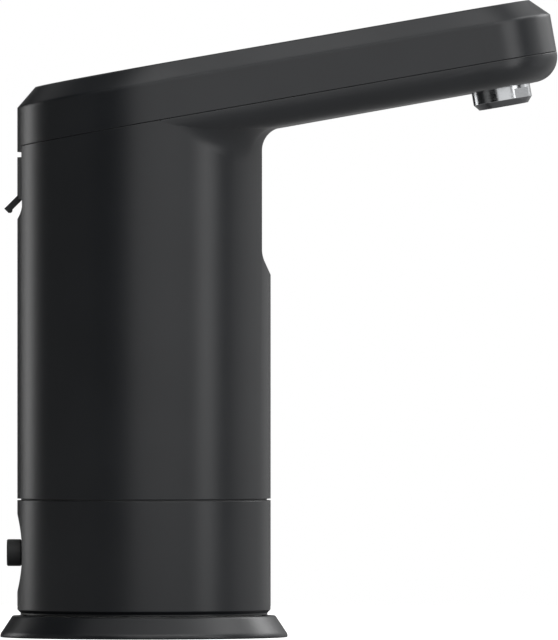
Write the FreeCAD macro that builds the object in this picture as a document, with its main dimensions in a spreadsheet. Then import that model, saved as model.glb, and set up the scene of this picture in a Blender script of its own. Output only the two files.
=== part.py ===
import FreeCAD, Part
import math
import os

import Sketcher
from FreeCAD import Placement, Rotation, Vector

# A cordless water tap on a magnetic mounting disc.
# Origin: on the column's axis, in the plane that the mounting disc stands on.
# +Z runs up the column, +X points from the column towards the spout's tip.
# Driving sizes in millimetres, angles in degrees: name, value, meaning

SIZES = [
    ("columnRadius", 36.5, "outer radius of the base and the column"),
    ("topRise", 163.9, "height of the sloping top, on the column's axis"),
    ("tilt", 10.0, "rise of the spout above level"),
    ("spoutReach", 117.9, "tip from the column's axis, along the slope"),
    ("tipRadius", 23.6, "radius of the spout's round tip"),
    ("coverDepth", 15.95, "top cover's depth, square to the slope"),
    ("spoutDepth", 23.6, "spout's whole depth, square to the slope"),
    ("topBevel", 5.1, "bevel around the top"),
    ("spoutRound", 7.3, "rounding under the spout's edge"),
    ("webRadius", 6.2, "hollow rounding between column and spout"),
    ("webFade", 1.3, "radius of that rounding where it ends"),
    ("webReach", 24.0, "half width over which that rounding fades"),
    ("shellWall", 2.2, "wall of the housing and the cover"),
    ("seamGap", 0.15, "line between the housing and the cover"),
    ("flatSink", 2.5, "depth of the column's flat front"),
    ("rampFoot", 104.3, "height where the front ramp starts"),
    ("rampTop", 109.8, "height where the ramp meets the flat"),
    ("rampRound", 9.0, "rounding between the ramp and the flat"),
    ("discLand", 1.4, "mounting disc's top beyond the column"),
    ("discFlare", 3.5, "mounting disc's foot beyond its top"),
    ("discRise", 6.2, "mounting disc's height"),
    ("discRim", 0.9, "upright rim at the disc's foot"),
    ("discRound", 1.9, "rounding above that rim"),
    ("discEdge", 0.3, "rounding of the disc's other edges"),
    ("dishEdge", 3.4, "disc's top beyond its shallow seat"),
    ("dishDepth", 1.2, "depth of that seat"),
    ("padEdge", 5.0, "disc's foot beyond the adhesive pad"),
    ("padThick", 0.8, "adhesive pad's thickness"),
    ("plateEdge", 4.5, "adhesive pad beyond the keeper plate"),
    ("plateThick", 2.5, "keeper plate's thickness"),
    ("baseGap", 0.3, "shadow gap over the disc"),
    ("baseTop", 39.4, "height of the base's top"),
    ("baseBevel", 0.9, "bevel at the base's foot"),
    ("baseLip", 0.5, "upright lip below that bevel"),
    ("baseWall", 2.4, "wall of the base housing"),
    ("baseRoof", 4.5, "roof of the base housing"),
    ("waistGap", 0.5, "groove between the base and the column"),
    ("ringSink", 1.0, "slide ring's seat in the base"),
    ("ringEdge", 1.1, "slide ring inside the column's surface"),
    ("ringInner", 20.0, "slide ring's inner radius"),
    ("coverThick", 3.0, "base cover's thickness"),
    ("footInner", 28.0, "foot ring's inner radius"),
    ("footWidth", 4.0, "foot ring's width"),
    ("footThick", 1.5, "foot ring's thickness"),
    ("magnetRadius", 9.0, "holding magnet"),
    ("magnetThick", 3.0, "holding magnet's thickness"),
    ("magnetRing", 17.5, "radius of the magnets' circle"),
    ("coverScrewRing", 24.0, "radius of the base cover screws' circle"),
    ("inletDrop", 15.1, "inlet's axis below the base's top"),
    ("inletRadius", 3.875, "inlet spigot's outer radius"),
    ("inletReach", 3.0, "inlet spigot's end beyond the column's surface"),
    ("inletRound", 0.5, "rounding at the spigot's end"),
    ("inletNeck", 0.5, "thinner neck at the spigot's root"),
    ("inletDish", 11.3, "half height of the hollow around the inlet"),
    ("inletSink", 1.5, "depth of that hollow"),
    ("inletPad", 4.6, "depth of the pad that carries the inlet"),
    ("waterBore", 2.0, "radius of the water way in the base"),
    ("baseHoseBore", 3.0, "bore radius of the hose in the base"),
    ("hoseWall", 1.6, "wall of the hoses"),
    ("hoseBore", 2.5, "bore radius of the hoses in the column"),
    ("barbBore", 1.6, "bore radius of the barbs in the column"),
    ("elbowRadius", 8.0, "bend of the swivel stem"),
    ("stemRadius", 5.0, "swivel stem"),
    ("stemRise", 8.2, "swivel stem's top above the hub"),
    ("stemFlange", 14.0, "radius of the stem's flange"),
    ("flangeThick", 3.0, "thickness of the stem's flange"),
    ("hubRise", 3.1, "hub above the column's floor"),
    ("hubRadius", 8.0, "outer radius of that hub"),
    ("floorThick", 3.0, "thickness of the column's floor"),
    ("clipThick", 0.8, "retaining clip"),
    ("clipRadius", 7.2, "retaining clip's outer radius"),
    ("clipSeat", 4.2, "radius of the clip's groove"),
    ("sealSeat", 3.8, "radius of the seal grooves"),
    ("sealSection", 0.615, "section radius of the seals"),
    ("sealRise", 4.2, "lower seal groove above the hub"),
    ("sealPitch", 2.4, "height between the seal grooves"),
    ("capRise", 3.3, "swivel cap's top above the stem"),
    ("capWall", 2.2, "wall of the swivel cap"),
    ("barbLength", 7.5, "length of a hose barb"),
    ("screwHead", 2.5, "radius of a screw's head"),
    ("screwHeadThick", 1.6, "thickness of a screw's head"),
    ("screwShank", 1.25, "radius of a screw's shank"),
    ("smallHead", 1.8, "radius of a board screw's head"),
    ("smallHeadThick", 1.2, "thickness of a board screw's head"),
    ("smallShank", 0.9, "radius of a board screw's shank"),
    ("bossRadius", 3.4, "radius of a screw boss"),
    ("bossHeight", 12.0, "height of the floor screws' bosses"),
    ("legRadius", 4.0, "legs of the battery holder and the pump stand"),
    ("legOffset", 6.4, "holder's legs beside the cells' axes"),
    ("screwPlay", 0.2, "play around a screw's shank"),
    ("headPlay", 0.3, "play around a screw's head"),
    ("smallPlay", 0.15, "play around a board screw's shank"),
    ("floorScrewEdge", 5.3, "floor screws inside the column's surface"),
    ("cellRadius", 9.15, "battery cell"),
    ("cellLength", 65.0, "battery cell's length"),
    ("cellBack", 16.0, "cells behind the column's axis"),
    ("cellGap", 0.45, "half the gap between the cells"),
    ("cellRise", 0.7, "cells' lower end above the swivel cap"),
    ("tabThick", 0.3, "nickel tab"),
    ("holderWall", 1.7, "wall of the battery holder"),
    ("holderGrip", 5.0, "height of the holder's sockets"),
    ("standRise", 11.5, "top of the pump stand above the swivel cap"),
    ("standThick", 2.5, "plate of the pump stand"),
    ("grommetThick", 4.0, "rubber foot under the pump"),
    ("grommetRadius", 3.2, "that foot's radius"),
    ("pumpX", 10.0, "pump's axis in front of the column's axis"),
    ("pumpWidth", 27.0, "pump head's width"),
    ("pumpHeight", 20.0, "pump head's height"),
    ("pumpPort", 11.0, "pump's outlet above its foot"),
    ("motorRadius", 12.1, "pump motor"),
    ("motorLength", 31.0, "pump motor's length"),
    ("portDrop", 5.5, "charging port below the flap's upper edge"),
    ("portWidth", 8.94, "charging port"),
    ("portHeight", 3.26, "charging port's height"),
    ("portLength", 7.35, "charging port's length"),
    ("portSetback", 3.5, "charging port's mouth inside the surface"),
    ("padDepth", 5.2, "rear pad's inner face inside the column's surface"),
    ("portDoor", 6.0, "half width of the opening for a plug"),
    ("portDoorRise", 3.1, "half height of the opening for a plug"),
    ("flapDrop", 25.6, "flap's upper edge below the top"),
    ("flapTall", 12.3, "height of the flap"),
    ("flapHalf", 9.75, "half width of the flap"),
    ("flapThick", 1.7, "thickness of the flap"),
    ("tongueGap", 1.4, "gap between the flap and the cover's rear tongue"),
    ("tongueThick", 1.0, "thickness of the cover's rear tongue"),
    ("gripGap", 0.1, "finger recess below the flap"),
    ("gripTall", 5.6, "height of the finger recess"),
    ("gripSink", 1.5, "depth of the finger recess"),
    ("gripHalf", 10.3, "half width of the finger recess"),
    ("tabHalf", 5.0, "half width of the flap's pull tab"),
    ("tabReach", 3.5, "length of the pull tab, along its slant"),
    ("tabSection", 1.7, "thickness of the pull tab"),
    ("beadRadius", 0.75, "grip bead along the tab's end"),
    ("beadProud", 0.4, "that bead below the tab"),
    ("tabDrop", 1.4, "pull tab's root below the flap's lower edge"),
    ("boardThick", 1.2, "small circuit boards"),
    ("shelfThick", 4.0, "shelf under the port board"),
    ("nozzleInset", 17.75, "nozzle's axis back from the spout's tip"),
    ("nozzleRadius", 8.5, "outer radius of the nozzle sleeve"),
    ("nozzleDrop", 5.3, "sleeve below the spout"),
    ("nozzleBevel", 1.7, "height of the bevel at the sleeve's foot"),
    ("nozzleSlant", 1.4, "reach of that bevel"),
    ("nozzleFlat", 0.48, "depth of the spanner flats"),
    ("sleeveBore", 7.3, "bore radius of the sleeve"),
    ("sleeveLip", 1.5, "inward lip at the sleeve's foot"),
    ("neckRadius", 7.95, "threaded neck of the sleeve"),
    ("neckLength", 5.05, "length of that neck"),
    ("fittingRadius", 10.7, "outlet fitting"),
    ("fittingTop", 7.5, "fitting's top below the slope"),
    ("chamberTop", 9.5, "top of the fitting's chamber, below the slope"),
    ("socketTop", 15.5, "top of the fitting's socket, below the slope"),
    ("chamberRadius", 5.5, "radius of the fitting's chamber"),
    ("hoseLevel", 12.5, "hose's axis below the slope"),
    ("earOffset", 14.7, "fitting's screws from the nozzle's axis"),
    ("earThick", 2.5, "fitting's ears"),
    ("earDrop", 1.5, "foot of those ears below the socket's top"),
    ("touchReach", 12.0, "touch panel's centre, along the slope"),
    ("touchRadius", 15.0, "touch panel"),
    ("touchThick", 1.2, "touch panel's thickness"),
    ("touchBoard", 34.0, "width of the touch board"),
    ("boardDrop", 12.4, "control board's face below the slope"),
    ("boardLong", 24.0, "control board along the slope"),
    ("boardWide", 34.0, "control board's width"),
    ("controlThick", 1.6, "control board's thickness"),
    ("boardBack", 31.0, "control board's rear edge, along the slope"),
    ("coverScrewEdge", 5.3, "cover screws inside the column's surface"),
    ("lugThick", 2.6, "lugs under the cover screws' bosses"),
    ("lipInset", 0.15, "play around the cover's lip"),
    ("lipThick", 1.2, "cover's inner lip"),
    ("lipDrop", 1.2, "that lip below the seam"),
    ("lipStart", 44.0, "start of that lip in front of the axis"),
    ("leadRadius", 0.8, "insulated lead"),
    ("slip", 0.1, "play where a piece slides in"),
    ("runFit", 0.05, "running play of the swivel and the thread"),
    ("looseFit", 0.35, "play around a piece that moves past another"),
]

NAMES = [alias for alias, value, meaning in SIZES]

doc = FreeCAD.newDocument("WaterTap")
sheet = doc.addObject("Spreadsheet::Sheet", "Dims")
for row, (alias, value, meaning) in enumerate(SIZES, start=1):
    sheet.set(f"A{row}", meaning)
    sheet.set(f"B{row}", str(value))
    sheet.setAlias(f"B{row}", alias)
doc.recompute()


class Size:
    """A size that carries its formula in the sheet and its value."""

    def __init__(self, formula, value):
        self.formula = formula
        self.value = value

    def __float__(self):
        return float(self.value)

    def __add__(self, other):
        return Size(f"({self.formula} + {written(other)})", self.value + float(other))

    def __radd__(self, other):
        return Size(f"({written(other)} + {self.formula})", float(other) + self.value)

    def __sub__(self, other):
        return Size(f"({self.formula} - {written(other)})", self.value - float(other))

    def __rsub__(self, other):
        return Size(f"({written(other)} - {self.formula})", float(other) - self.value)

    def __mul__(self, other):
        return Size(f"({self.formula} * {written(other)})", self.value * float(other))

    def __rmul__(self, other):
        return Size(f"({written(other)} * {self.formula})", float(other) * self.value)

    def __truediv__(self, other):
        return Size(f"({self.formula} / {written(other)})", self.value / float(other))

    def __neg__(self):
        return Size(f"(0 - {self.formula})", -self.value)


def written(size):
    """The text of a size or a plain number, as a formula holds it."""
    if isinstance(size, Size):
        return size.formula
    return repr(float(size)) if size >= 0 else f"(0 - {-float(size)!r})"


def least(first, second):
    """The smaller of two sizes."""
    return Size(f"min({written(first)}; {written(second)})", min(float(first), float(second)))


class Sizes:
    """The sheet's sizes by name."""

    def __init__(self, source, names):
        for name in names:
            setattr(self, name, Size(f"Dims.{name}", float(getattr(source, name))))


dim = Sizes(sheet, NAMES)

# The largest share of a wall's height that its rounding may take
ROUND_SHARE = 0.975

# Levels and radii that several pieces share

disc_top_radius = dim.columnRadius + dim.discLand
disc_radius = disc_top_radius + dim.discFlare
pad_radius = disc_radius - dim.padEdge
plate_radius = pad_radius - dim.plateEdge
dish_floor = dim.discRise - dim.dishDepth
base_foot = dim.discRise + dim.baseGap
base_bore = dim.columnRadius - dim.baseWall
base_ceiling = dim.baseTop - dim.baseRoof
cover_foot = dish_floor + dim.baseGap
cover_top = cover_foot + dim.coverThick
ring_outer = dim.columnRadius - dim.ringEdge
column_foot = dim.baseTop + dim.waistGap
floor_top = column_foot + dim.floorThick
inlet_rise = dim.baseTop - dim.inletDrop
hub_top = floor_top + dim.hubRise
seal_rise = hub_top + dim.sealRise
stem_top = hub_top + dim.stemRise
cap_top = stem_top + dim.capRise
cell_foot = cap_top + dim.cellRise
stand_top = cap_top + dim.standRise
column_bore = dim.columnRadius - dim.shellWall
flat_face = dim.columnRadius - dim.flatSink
cell_side = dim.cellRadius + dim.cellGap
pump_foot = stand_top + dim.grommetThick
spout_floor = dim.spoutDepth - dim.shellWall
seam_depth = dim.coverDepth + dim.seamGap
flap_top = dim.topRise - dim.flapDrop
flap_foot = flap_top - dim.flapTall
port_rise = flap_top - dim.portDrop
grip_top = flap_foot - dim.gripGap
grip_foot = grip_top - dim.gripTall
nozzle_reach = dim.spoutReach - dim.nozzleInset
shelf_top = port_rise - dim.portHeight / 2 - dim.boardThick
screw_hole = dim.screwShank + dim.screwPlay
grommet_hole = screw_hole + dim.slip
head_seat = dim.screwHead + dim.headPlay
small_hole = dim.smallShank + dim.smallPlay
ear_foot = dim.socketTop + dim.earDrop
control_face = dim.boardDrop + dim.controlThick
pad_face = dim.columnRadius - dim.padDepth
cap_radius = dim.hubRadius + dim.looseFit + dim.capWall
pad_inner = -(base_bore - dim.inletPad)
far = 2 * dim.spoutReach

# Directions of an axis that points up until it is turned

UP = Rotation()
DOWN = Rotation(Vector(1, 0, 0), 180)
FRONT = Rotation(Vector(0, 1, 0), 90)
REAR = Rotation(Vector(0, 1, 0), -90)
LEFT = Rotation(Vector(1, 0, 0), -90)
RIGHT = Rotation(Vector(1, 0, 0), 90)

nodes = {}


def bind(item, path, size):
    """Sets one property, with its formula where it follows the sheet."""
    if isinstance(size, Size):
        item.setExpression(path, size.formula)
    else:
        setattr(item, path, size)


def place(item, at, turned=UP):
    """Puts an object at a point whose coordinates may follow the sheet."""
    item.Placement = Placement(Vector(*[float(value) for value in at]), turned)
    for axis, value in zip("xyz", at):
        if isinstance(value, Size):
            item.setExpression(f"Placement.Base.{axis}", value.formula)
    return item


def sloped(item):
    """Lays an object that was built on the level onto the sloping top."""
    if item.ExpressionEngine:
        item = group([item])
    item.Placement = Placement(Vector(0, 0, float(dim.topRise)), Rotation(Vector(0, -1, 0), float(dim.tilt)))
    item.setExpression("Placement.Base.z", dim.topRise.formula)
    item.setExpression("Placement.Rotation.Angle", dim.tilt.formula)
    return item


def rod(radius, length, at=(0, 0, 0), along=UP):
    item = doc.addObject("Part::Cylinder", "Rod")
    bind(item, "Radius", radius)
    bind(item, "Height", length)
    return place(item, at, along)


def cone(foot_radius, top_radius, length, at=(0, 0, 0), along=UP):
    item = doc.addObject("Part::Cone", "Cone")
    bind(item, "Radius1", foot_radius)
    bind(item, "Radius2", top_radius)
    bind(item, "Height", length)
    return place(item, at, along)


def block(size, at):
    """A box from its least corner."""
    item = doc.addObject("Part::Box", "Block")
    for path, value in zip(("Length", "Width", "Height"), size):
        bind(item, path, value)
    return place(item, at)


def slab(x_range, half_width, z_range):
    """A box between two x, two z and either side of the middle plane."""
    size = (x_range[1] - x_range[0], 2 * half_width, z_range[1] - z_range[0])
    return block(size, (x_range[0], -half_width, z_range[0]))


def ring(radius, section, at, angle=360, turned=UP):
    """A round bar bent to a circle or a part of one."""
    item = doc.addObject("Part::Torus", "Ring")
    bind(item, "Radius1", radius)
    bind(item, "Radius2", section)
    item.Angle3 = angle
    return place(item, at, turned)


def join(parts, refine=False):
    item = doc.addObject("Part::MultiFuse", "Join")
    item.Shapes = list(parts)
    item.Refine = refine
    return item


def cut(base, tools):
    """Takes one or more tools out of a base."""
    item = doc.addObject("Part::Cut", "Cut")
    item.Base = base
    item.Tool = tools[0] if len(tools) == 1 else join(tools)
    return item


def common(first, second):
    item = doc.addObject("Part::Common", "Common")
    item.Base = first
    item.Tool = second
    return item


def group(parts):
    item = doc.addObject("Part::Compound", "Group")
    item.Links = list(parts)
    return item


def tube(outer, bore, length, at=(0, 0, 0), along=UP):
    return cut(rod(outer, length, at, along), [rod(bore, length, at, along)])


def free_shape(shape):
    """An object with a shape of its own, for lofts and swept pieces."""
    item = doc.addObject("Part::Feature", "Shape")
    item.Shape = shape
    item.Placement = Placement()
    return item


def node(name, item):
    """Registers a finished sub-part under its name."""
    item.Label = name
    nodes[name] = item
    return item


def polar(radius, angle):
    """A point on a circle round the column's axis, as formulas."""
    turn = math.radians(angle)
    return radius * round(math.cos(turn), 9), radius * round(math.sin(turn), 9)


def screw(at, along, length, small=False):
    """A screw whose head rests at a point, its shank along the direction."""
    head = dim.smallHead if small else dim.screwHead
    thick = dim.smallHeadThick if small else dim.screwHeadThick
    shank = dim.smallShank if small else dim.screwShank
    shaft = rod(shank, length + thick, (0, 0, -thick))
    top = rod(head, thick, (0, 0, -thick))
    slot = block((head * 1.2, head * 0.3, thick / 2), (-head * 0.6, -head * 0.15, -thick))
    cross = block((head * 0.3, head * 1.2, thick / 2), (-head * 0.15, -head * 0.6, -thick))
    return place(cut(join([shaft, top]), [slot, cross]), at, along)


def plane_of(body, role):
    return next(item for item in body.Origin.OriginFeatures if item.Role == role)


def sketch_on(body, role, name):
    item = body.newObject("Sketcher::SketchObject", name)
    item.AttachmentSupport = [(plane_of(body, role), "")]
    item.MapMode = "FlatFace"
    return item


def outline_sketch(body, role, name, points):
    """A closed sketch of straight lines with each corner held by its sizes."""
    item = sketch_on(body, role, name)
    corners = [Vector(float(x), float(y), 0) for x, y in points]
    count = len(corners)
    for index in range(count):
        item.addGeometry(Part.LineSegment(corners[index], corners[(index + 1) % count]), False)
    for index in range(count):
        item.addConstraint(Sketcher.Constraint("Coincident", index, 2, (index + 1) % count, 1))
    for index, (x, y) in enumerate(points):
        hold(item, "DistanceX", index, x, -2)
        hold(item, "DistanceY", index, y, -1)
    return item


def hold(sketch, kind, line, size, axis):
    """Holds a line's first end at a distance, or on the axis where it is nought."""
    if float(size) == 0:
        sketch.addConstraint(Sketcher.Constraint("PointOnObject", line, 1, axis))
        return
    number = sketch.addConstraint(Sketcher.Constraint(kind, -1, 1, line, 1, float(size)))
    if isinstance(size, Size):
        sketch.setExpression(f"Constraints[{number}]", size.formula)


def turned_body(name, points):
    """A body turned about the column's axis from a half section."""
    body = doc.addObject("PartDesign::Body", "Turned")
    profile = outline_sketch(body, "XZ_Plane", "HalfSection", points)
    turning = body.newObject("PartDesign::Revolution", "Turning")
    turning.Profile = profile
    turning.ReferenceAxis = (profile, ["V_Axis"])
    turning.Angle = 360
    doc.recompute()
    body.Label = name
    return body


def circles_at(shape, radius, height):
    """Names of a shape's circular edges at a radius and a height."""
    found = []
    for number, edge in enumerate(shape.Edges, start=1):
        if edge.Curve.TypeId != "Part::GeomCircle":
            continue
        close = abs(edge.Curve.Radius - float(radius)) < 1e-4
        if close and abs(edge.Curve.Center.z - float(height)) < 1e-4:
            found.append(f"Edge{number}")
    return found


def dress(body, kind, size, circles):
    """Rounds or bevels a body's circular edges."""
    base = body.Tip
    names = []
    for radius, height in circles:
        names += circles_at(base.Shape, radius, height)
    item = body.newObject(f"PartDesign::{kind}", kind)
    item.Base = (base, names)
    bind(item, "Radius" if kind == "Fillet" else "Size", size)
    doc.recompute()


# The spout's outline and the shells made from it


def outline(depth, inset):
    """The wire round the top's outline, at a depth below the slope."""
    slope = math.radians(float(dim.tilt))
    wide = float(dim.columnRadius) - inset
    long = wide / math.cos(slope)
    tip = float(dim.tipRadius) - inset
    rear_u = -depth * math.tan(slope)
    tip_u = float(dim.spoutReach) - float(dim.tipRadius)
    lean = 0.1
    for turn in range(60):
        reach = math.hypot(long * lean, wide * math.sqrt(1 - lean * lean))
        lean = (reach - tip) / (tip_u - rear_u)
    side = math.sqrt(1 - lean * lean)
    reach = math.hypot(long * lean, wide * side)
    start = (rear_u + long * long * lean / reach, wide * wide * side / reach)
    end = (tip_u + tip * lean, tip * side)
    level = -depth

    def point(u, y):
        return Vector(u, y, level)

    oval = Part.Ellipse(point(rear_u + long, 0), point(rear_u, wide), point(rear_u, 0))
    first = oval.parameter(point(*start))
    last = oval.parameter(point(start[0], -start[1]))
    edges = [
        Part.ArcOfEllipse(oval, first, last).toShape(),
        Part.LineSegment(point(start[0], -start[1]), point(end[0], -end[1])).toShape(),
        Part.Arc(point(end[0], -end[1]), point(tip_u + tip, 0), point(*end)).toShape(),
        Part.LineSegment(point(*end), point(*start)).toShape(),
    ]
    return Part.Wire(edges)


def edges_at(shape, level):
    """Edges that lie in one level plane."""
    return [e for e in shape.Edges if all(abs(v.Z - level) < 1e-5 for v in e.Vertexes)]


def shell(deep, shallow, inset=0.0, bevel=None, rounding=None):
    """A solid between two depths, bevelled at its top or rounded at its foot."""
    deep, shallow, inset = float(deep), float(shallow), float(inset)
    spare = 0.0 if rounding is None else deep - shallow
    solid = Part.makeLoft([outline(deep, inset), outline(shallow - spare, inset)], True, True)
    if bevel is not None:
        solid = solid.makeChamfer(float(bevel), edges_at(solid, -shallow))
    if rounding is None:
        return sloped(free_shape(solid))
    solid = solid.makeFillet(min(float(rounding), spare * ROUND_SHARE), edges_at(solid, -deep))
    wide = 2 * (float(dim.spoutReach) + float(dim.columnRadius))
    above = Part.makeBox(wide, wide, 2 * spare, Vector(-wide / 2, -wide / 2, -shallow))
    return sloped(free_shape(solid.cut(above)))


def both_ways(wire, half):
    """A wire in the middle plane, carried out to either side of it."""
    halves = [Part.Face(wire).extrude(Vector(0, side * half, 0)) for side in (1, -1)]
    return halves[0].fuse(halves[1]).removeSplitter()


def front_flat(face, foot, top, ceiling):
    """The air in front of the column's flat and ramp."""
    face, foot, top = float(face), float(foot), float(top)
    edge = float(dim.columnRadius) - float(flat_face) + face
    out = edge + 20
    run = math.atan2(edge - face, top - foot)
    reach = float(dim.rampRound) * math.tan(run / 2)
    lower = Vector(face + reach * math.sin(run), 0, top - reach * math.cos(run))
    upper = Vector(face, 0, top + reach)
    middle = Vector(face + float(dim.rampRound), 0, top + reach)
    bulge = (lower - middle) + (upper - middle)
    bulge.normalize()
    start = Vector(edge, 0, foot)
    over = start + (start - lower) * 0.2
    corners = [upper, Vector(face, 0, ceiling), Vector(out, 0, ceiling), Vector(out, 0, over.z), over, lower]
    wire = [Part.Arc(lower, middle + bulge * float(dim.rampRound), upper).toShape()]
    for first, second in zip(corners, corners[1:]):
        wire.append(Part.LineSegment(first, second).toShape())
    return free_shape(both_ways(Part.Wire(wire), 40))


def web_section(y, radius):
    """The hollow rounding's section in a plane square to Y."""
    slope = math.radians(float(dim.tilt))
    bite = 0.02
    column = min(float(flat_face), math.sqrt(float(dim.columnRadius) ** 2 - y * y))
    x = column + radius - bite
    under = float(dim.topRise) - float(dim.spoutDepth) / math.cos(slope)
    z = under + x * math.tan(slope) - (radius - bite) / math.cos(slope)
    centre = Vector(x, y, z)

    def reach(angle, length):
        return centre + Vector(math.cos(angle), 0, math.sin(angle)) * length

    start, end = math.pi, math.pi / 2 + slope
    low = reach(start, radius)
    high = reach(end, radius)
    back = Vector(low.x - 1.2, y, high.z + 1.0)
    return Part.Wire([
        Part.Arc(low, reach((start + end) / 2, radius), high).toShape(),
        Part.LineSegment(high, back).toShape(),
        Part.LineSegment(back, low).toShape(),
    ])


def junction_web():
    """The hollow rounding where the column meets the spout's underside."""
    flat = math.sqrt(float(dim.columnRadius) ** 2 - float(flat_face) ** 2)
    full, least, reach = float(dim.webRadius), float(dim.webFade), float(dim.webReach)
    steps = 6
    side = []
    for step in range(steps + 1):
        part = step / steps
        ease = part * part * (3 - 2 * part)
        side.append(web_section(flat + (reach - flat) * part, full + (least - full) * ease))
    left = Part.makeLoft(side, True, False)
    right = left.mirror(Vector(0, 0, 0), Vector(0, 1, 0))
    middle = Part.makeLoft([web_section(-flat, full), web_section(flat, full)], True, True)
    return free_shape(left.fuse([middle, right]))


def rear_band(skin, half_width, z_range):
    """A curved slab at the column's rear, from just outside to a depth."""
    band = tube(dim.columnRadius + 1, dim.columnRadius - skin, z_range[1] - z_range[0], (0, 0, z_range[0]))
    return common(band, slab((-(dim.columnRadius + 1), -dim.columnRadius / 2), half_width, z_range))


def port_slot(half_width, half_height, x_range):
    """A slot with round ends along X at the charging port's height."""
    length = x_range[1] - x_range[0]
    offset = half_width - half_height
    ends = [rod(half_height, length, (x_range[0], side * offset, port_rise), FRONT) for side in (1, -1)]
    middle = slab(x_range, offset, (port_rise - half_height, port_rise + half_height))
    return join(ends + [middle])


def route(points, radii):
    """A path of straight runs joined by tangent arcs."""
    points = [Vector(*[float(value) for value in point]) for point in points]
    edges = []
    start = points[0]
    for index, radius in enumerate(radii, start=1):
        corner = points[index]
        back = (points[index - 1] - corner).normalize()
        onward = (points[index + 1] - corner).normalize()
        half = back.getAngle(onward) / 2
        length = radius / math.tan(half)
        first = corner + back * length
        last = corner + onward * length
        inward = (back + onward).normalize()
        middle = corner + inward * (radius / math.sin(half) - radius)
        edges.append(Part.LineSegment(start, first).toShape())
        edges.append(Part.Arc(first, middle, last).toShape())
        start = last
    edges.append(Part.LineSegment(start, points[-1]).toShape())
    return Part.Wire(edges)


def piped(path, radius):
    """A round bar along a path."""
    start = path.OrderedVertexes[0].Point
    edge = path.OrderedEdges[0]
    along = edge.tangentAt(edge.FirstParameter)
    circle = Part.Wire([Part.Circle(start, along, float(radius)).toShape()])
    return path.makePipeShell([circle], True, False)


def on_slope(u, y, depth):
    """A point given along the slope, across it and below it, in the tap's frame."""
    slope = math.radians(float(dim.tilt))
    u, depth = float(u), float(depth)
    x = u * math.cos(slope) + depth * math.sin(slope)
    return Vector(x, float(y), float(dim.topRise) + u * math.sin(slope) - depth * math.cos(slope))


# The mounting disc with its steel plate and adhesive pad


def mounting_disc():
    plate_top = dim.padThick + dim.plateThick
    body = turned_body("mounting_disc", [
        (pad_radius + dim.slip, 0),
        (disc_radius, 0),
        (disc_radius, dim.discRim),
        (disc_top_radius, dim.discRise),
        (disc_top_radius - dim.dishEdge, dim.discRise),
        (disc_top_radius - dim.dishEdge, dish_floor),
        (0, dish_floor),
        (0, plate_top),
        (plate_radius + dim.slip, plate_top),
        (plate_radius + dim.slip, dim.padThick),
        (pad_radius + dim.slip, dim.padThick),
    ])
    rim_round = least(dim.discRound, (dim.discRim - dim.discEdge) * 3.2)
    dress(body, "Fillet", rim_round, [(disc_radius, dim.discRim)])
    dress(body, "Fillet", dim.discEdge, [(disc_top_radius, dim.discRise), (disc_radius, 0)])
    node("mounting_disc", body)
    node("keeper_plate", rod(plate_radius, dim.plateThick, (0, 0, dim.padThick)))
    node("adhesive_pad", rod(pad_radius, dim.padThick))


# The base: housing, cover, magnets, inlet and swivel stem


def base_screw_places():
    return [polar(dim.coverScrewRing, angle) for angle in (0, 120, 240)]


def stem_screw_places():
    return [polar(dim.stemFlange - dim.screwHead - 0.5, angle) for angle in (90, 210, 330)]


def base_housing():
    lip = base_foot + dim.baseLip
    body = turned_body("base_turned", [
        (dim.stemRadius + 0.6, base_ceiling),
        (base_bore, base_ceiling),
        (base_bore, base_foot),
        (dim.columnRadius - dim.baseBevel, base_foot),
        (dim.columnRadius - dim.baseBevel, lip),
        (dim.columnRadius, lip + dim.baseBevel),
        (dim.columnRadius, dim.baseTop),
        (ring_outer + dim.slip, dim.baseTop),
        (ring_outer + dim.slip, dim.baseTop - dim.ringSink),
        (dim.ringInner - dim.slip, dim.baseTop - dim.ringSink),
        (dim.ringInner - dim.slip, dim.baseTop),
        (dim.stemRadius + 0.6, dim.baseTop),
    ])
    height = base_ceiling - cover_top
    pillars = [rod(dim.bossRadius, height + 1, (x, y, cover_top)) for x, y in base_screw_places()]
    skin = dim.columnRadius - 0.5
    pad = common(rod(skin, 16, (0, 0, inlet_rise - 8)),
                 slab((-skin, pad_inner), 12, (inlet_rise - 8, inlet_rise + 8)))
    dish_radius = (dim.inletDish * dim.inletDish + dim.inletSink * dim.inletSink) / (2 * dim.inletSink)
    dish_axis = -(dim.columnRadius - dim.inletSink + dish_radius)
    dish = rod(dish_radius, 2 * dim.columnRadius, (dish_axis, -dim.columnRadius, inlet_rise), LEFT)
    spigot_hole = rod(dim.inletRadius + 0.15, 12, (-(dim.columnRadius + 1), 0, inlet_rise), FRONT)
    tools = [dish, spigot_hole]
    tools += [rod(dim.screwShank, 9, (x, y, cover_top)) for x, y in base_screw_places()]
    tools += [rod(dim.screwShank, dim.baseRoof - 1, (x, y, base_ceiling)) for x, y in stem_screw_places()]
    tools += [rod(dim.screwShank, 4.5, (pad_inner, y, inlet_rise), REAR) for y in spigot_screw_sides()]
    node("base_housing", cut(join([body, pad] + pillars), tools))


def spigot_screw_sides():
    side = dim.inletRadius + dim.screwHead + 1.2
    return [side, -side]


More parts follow.
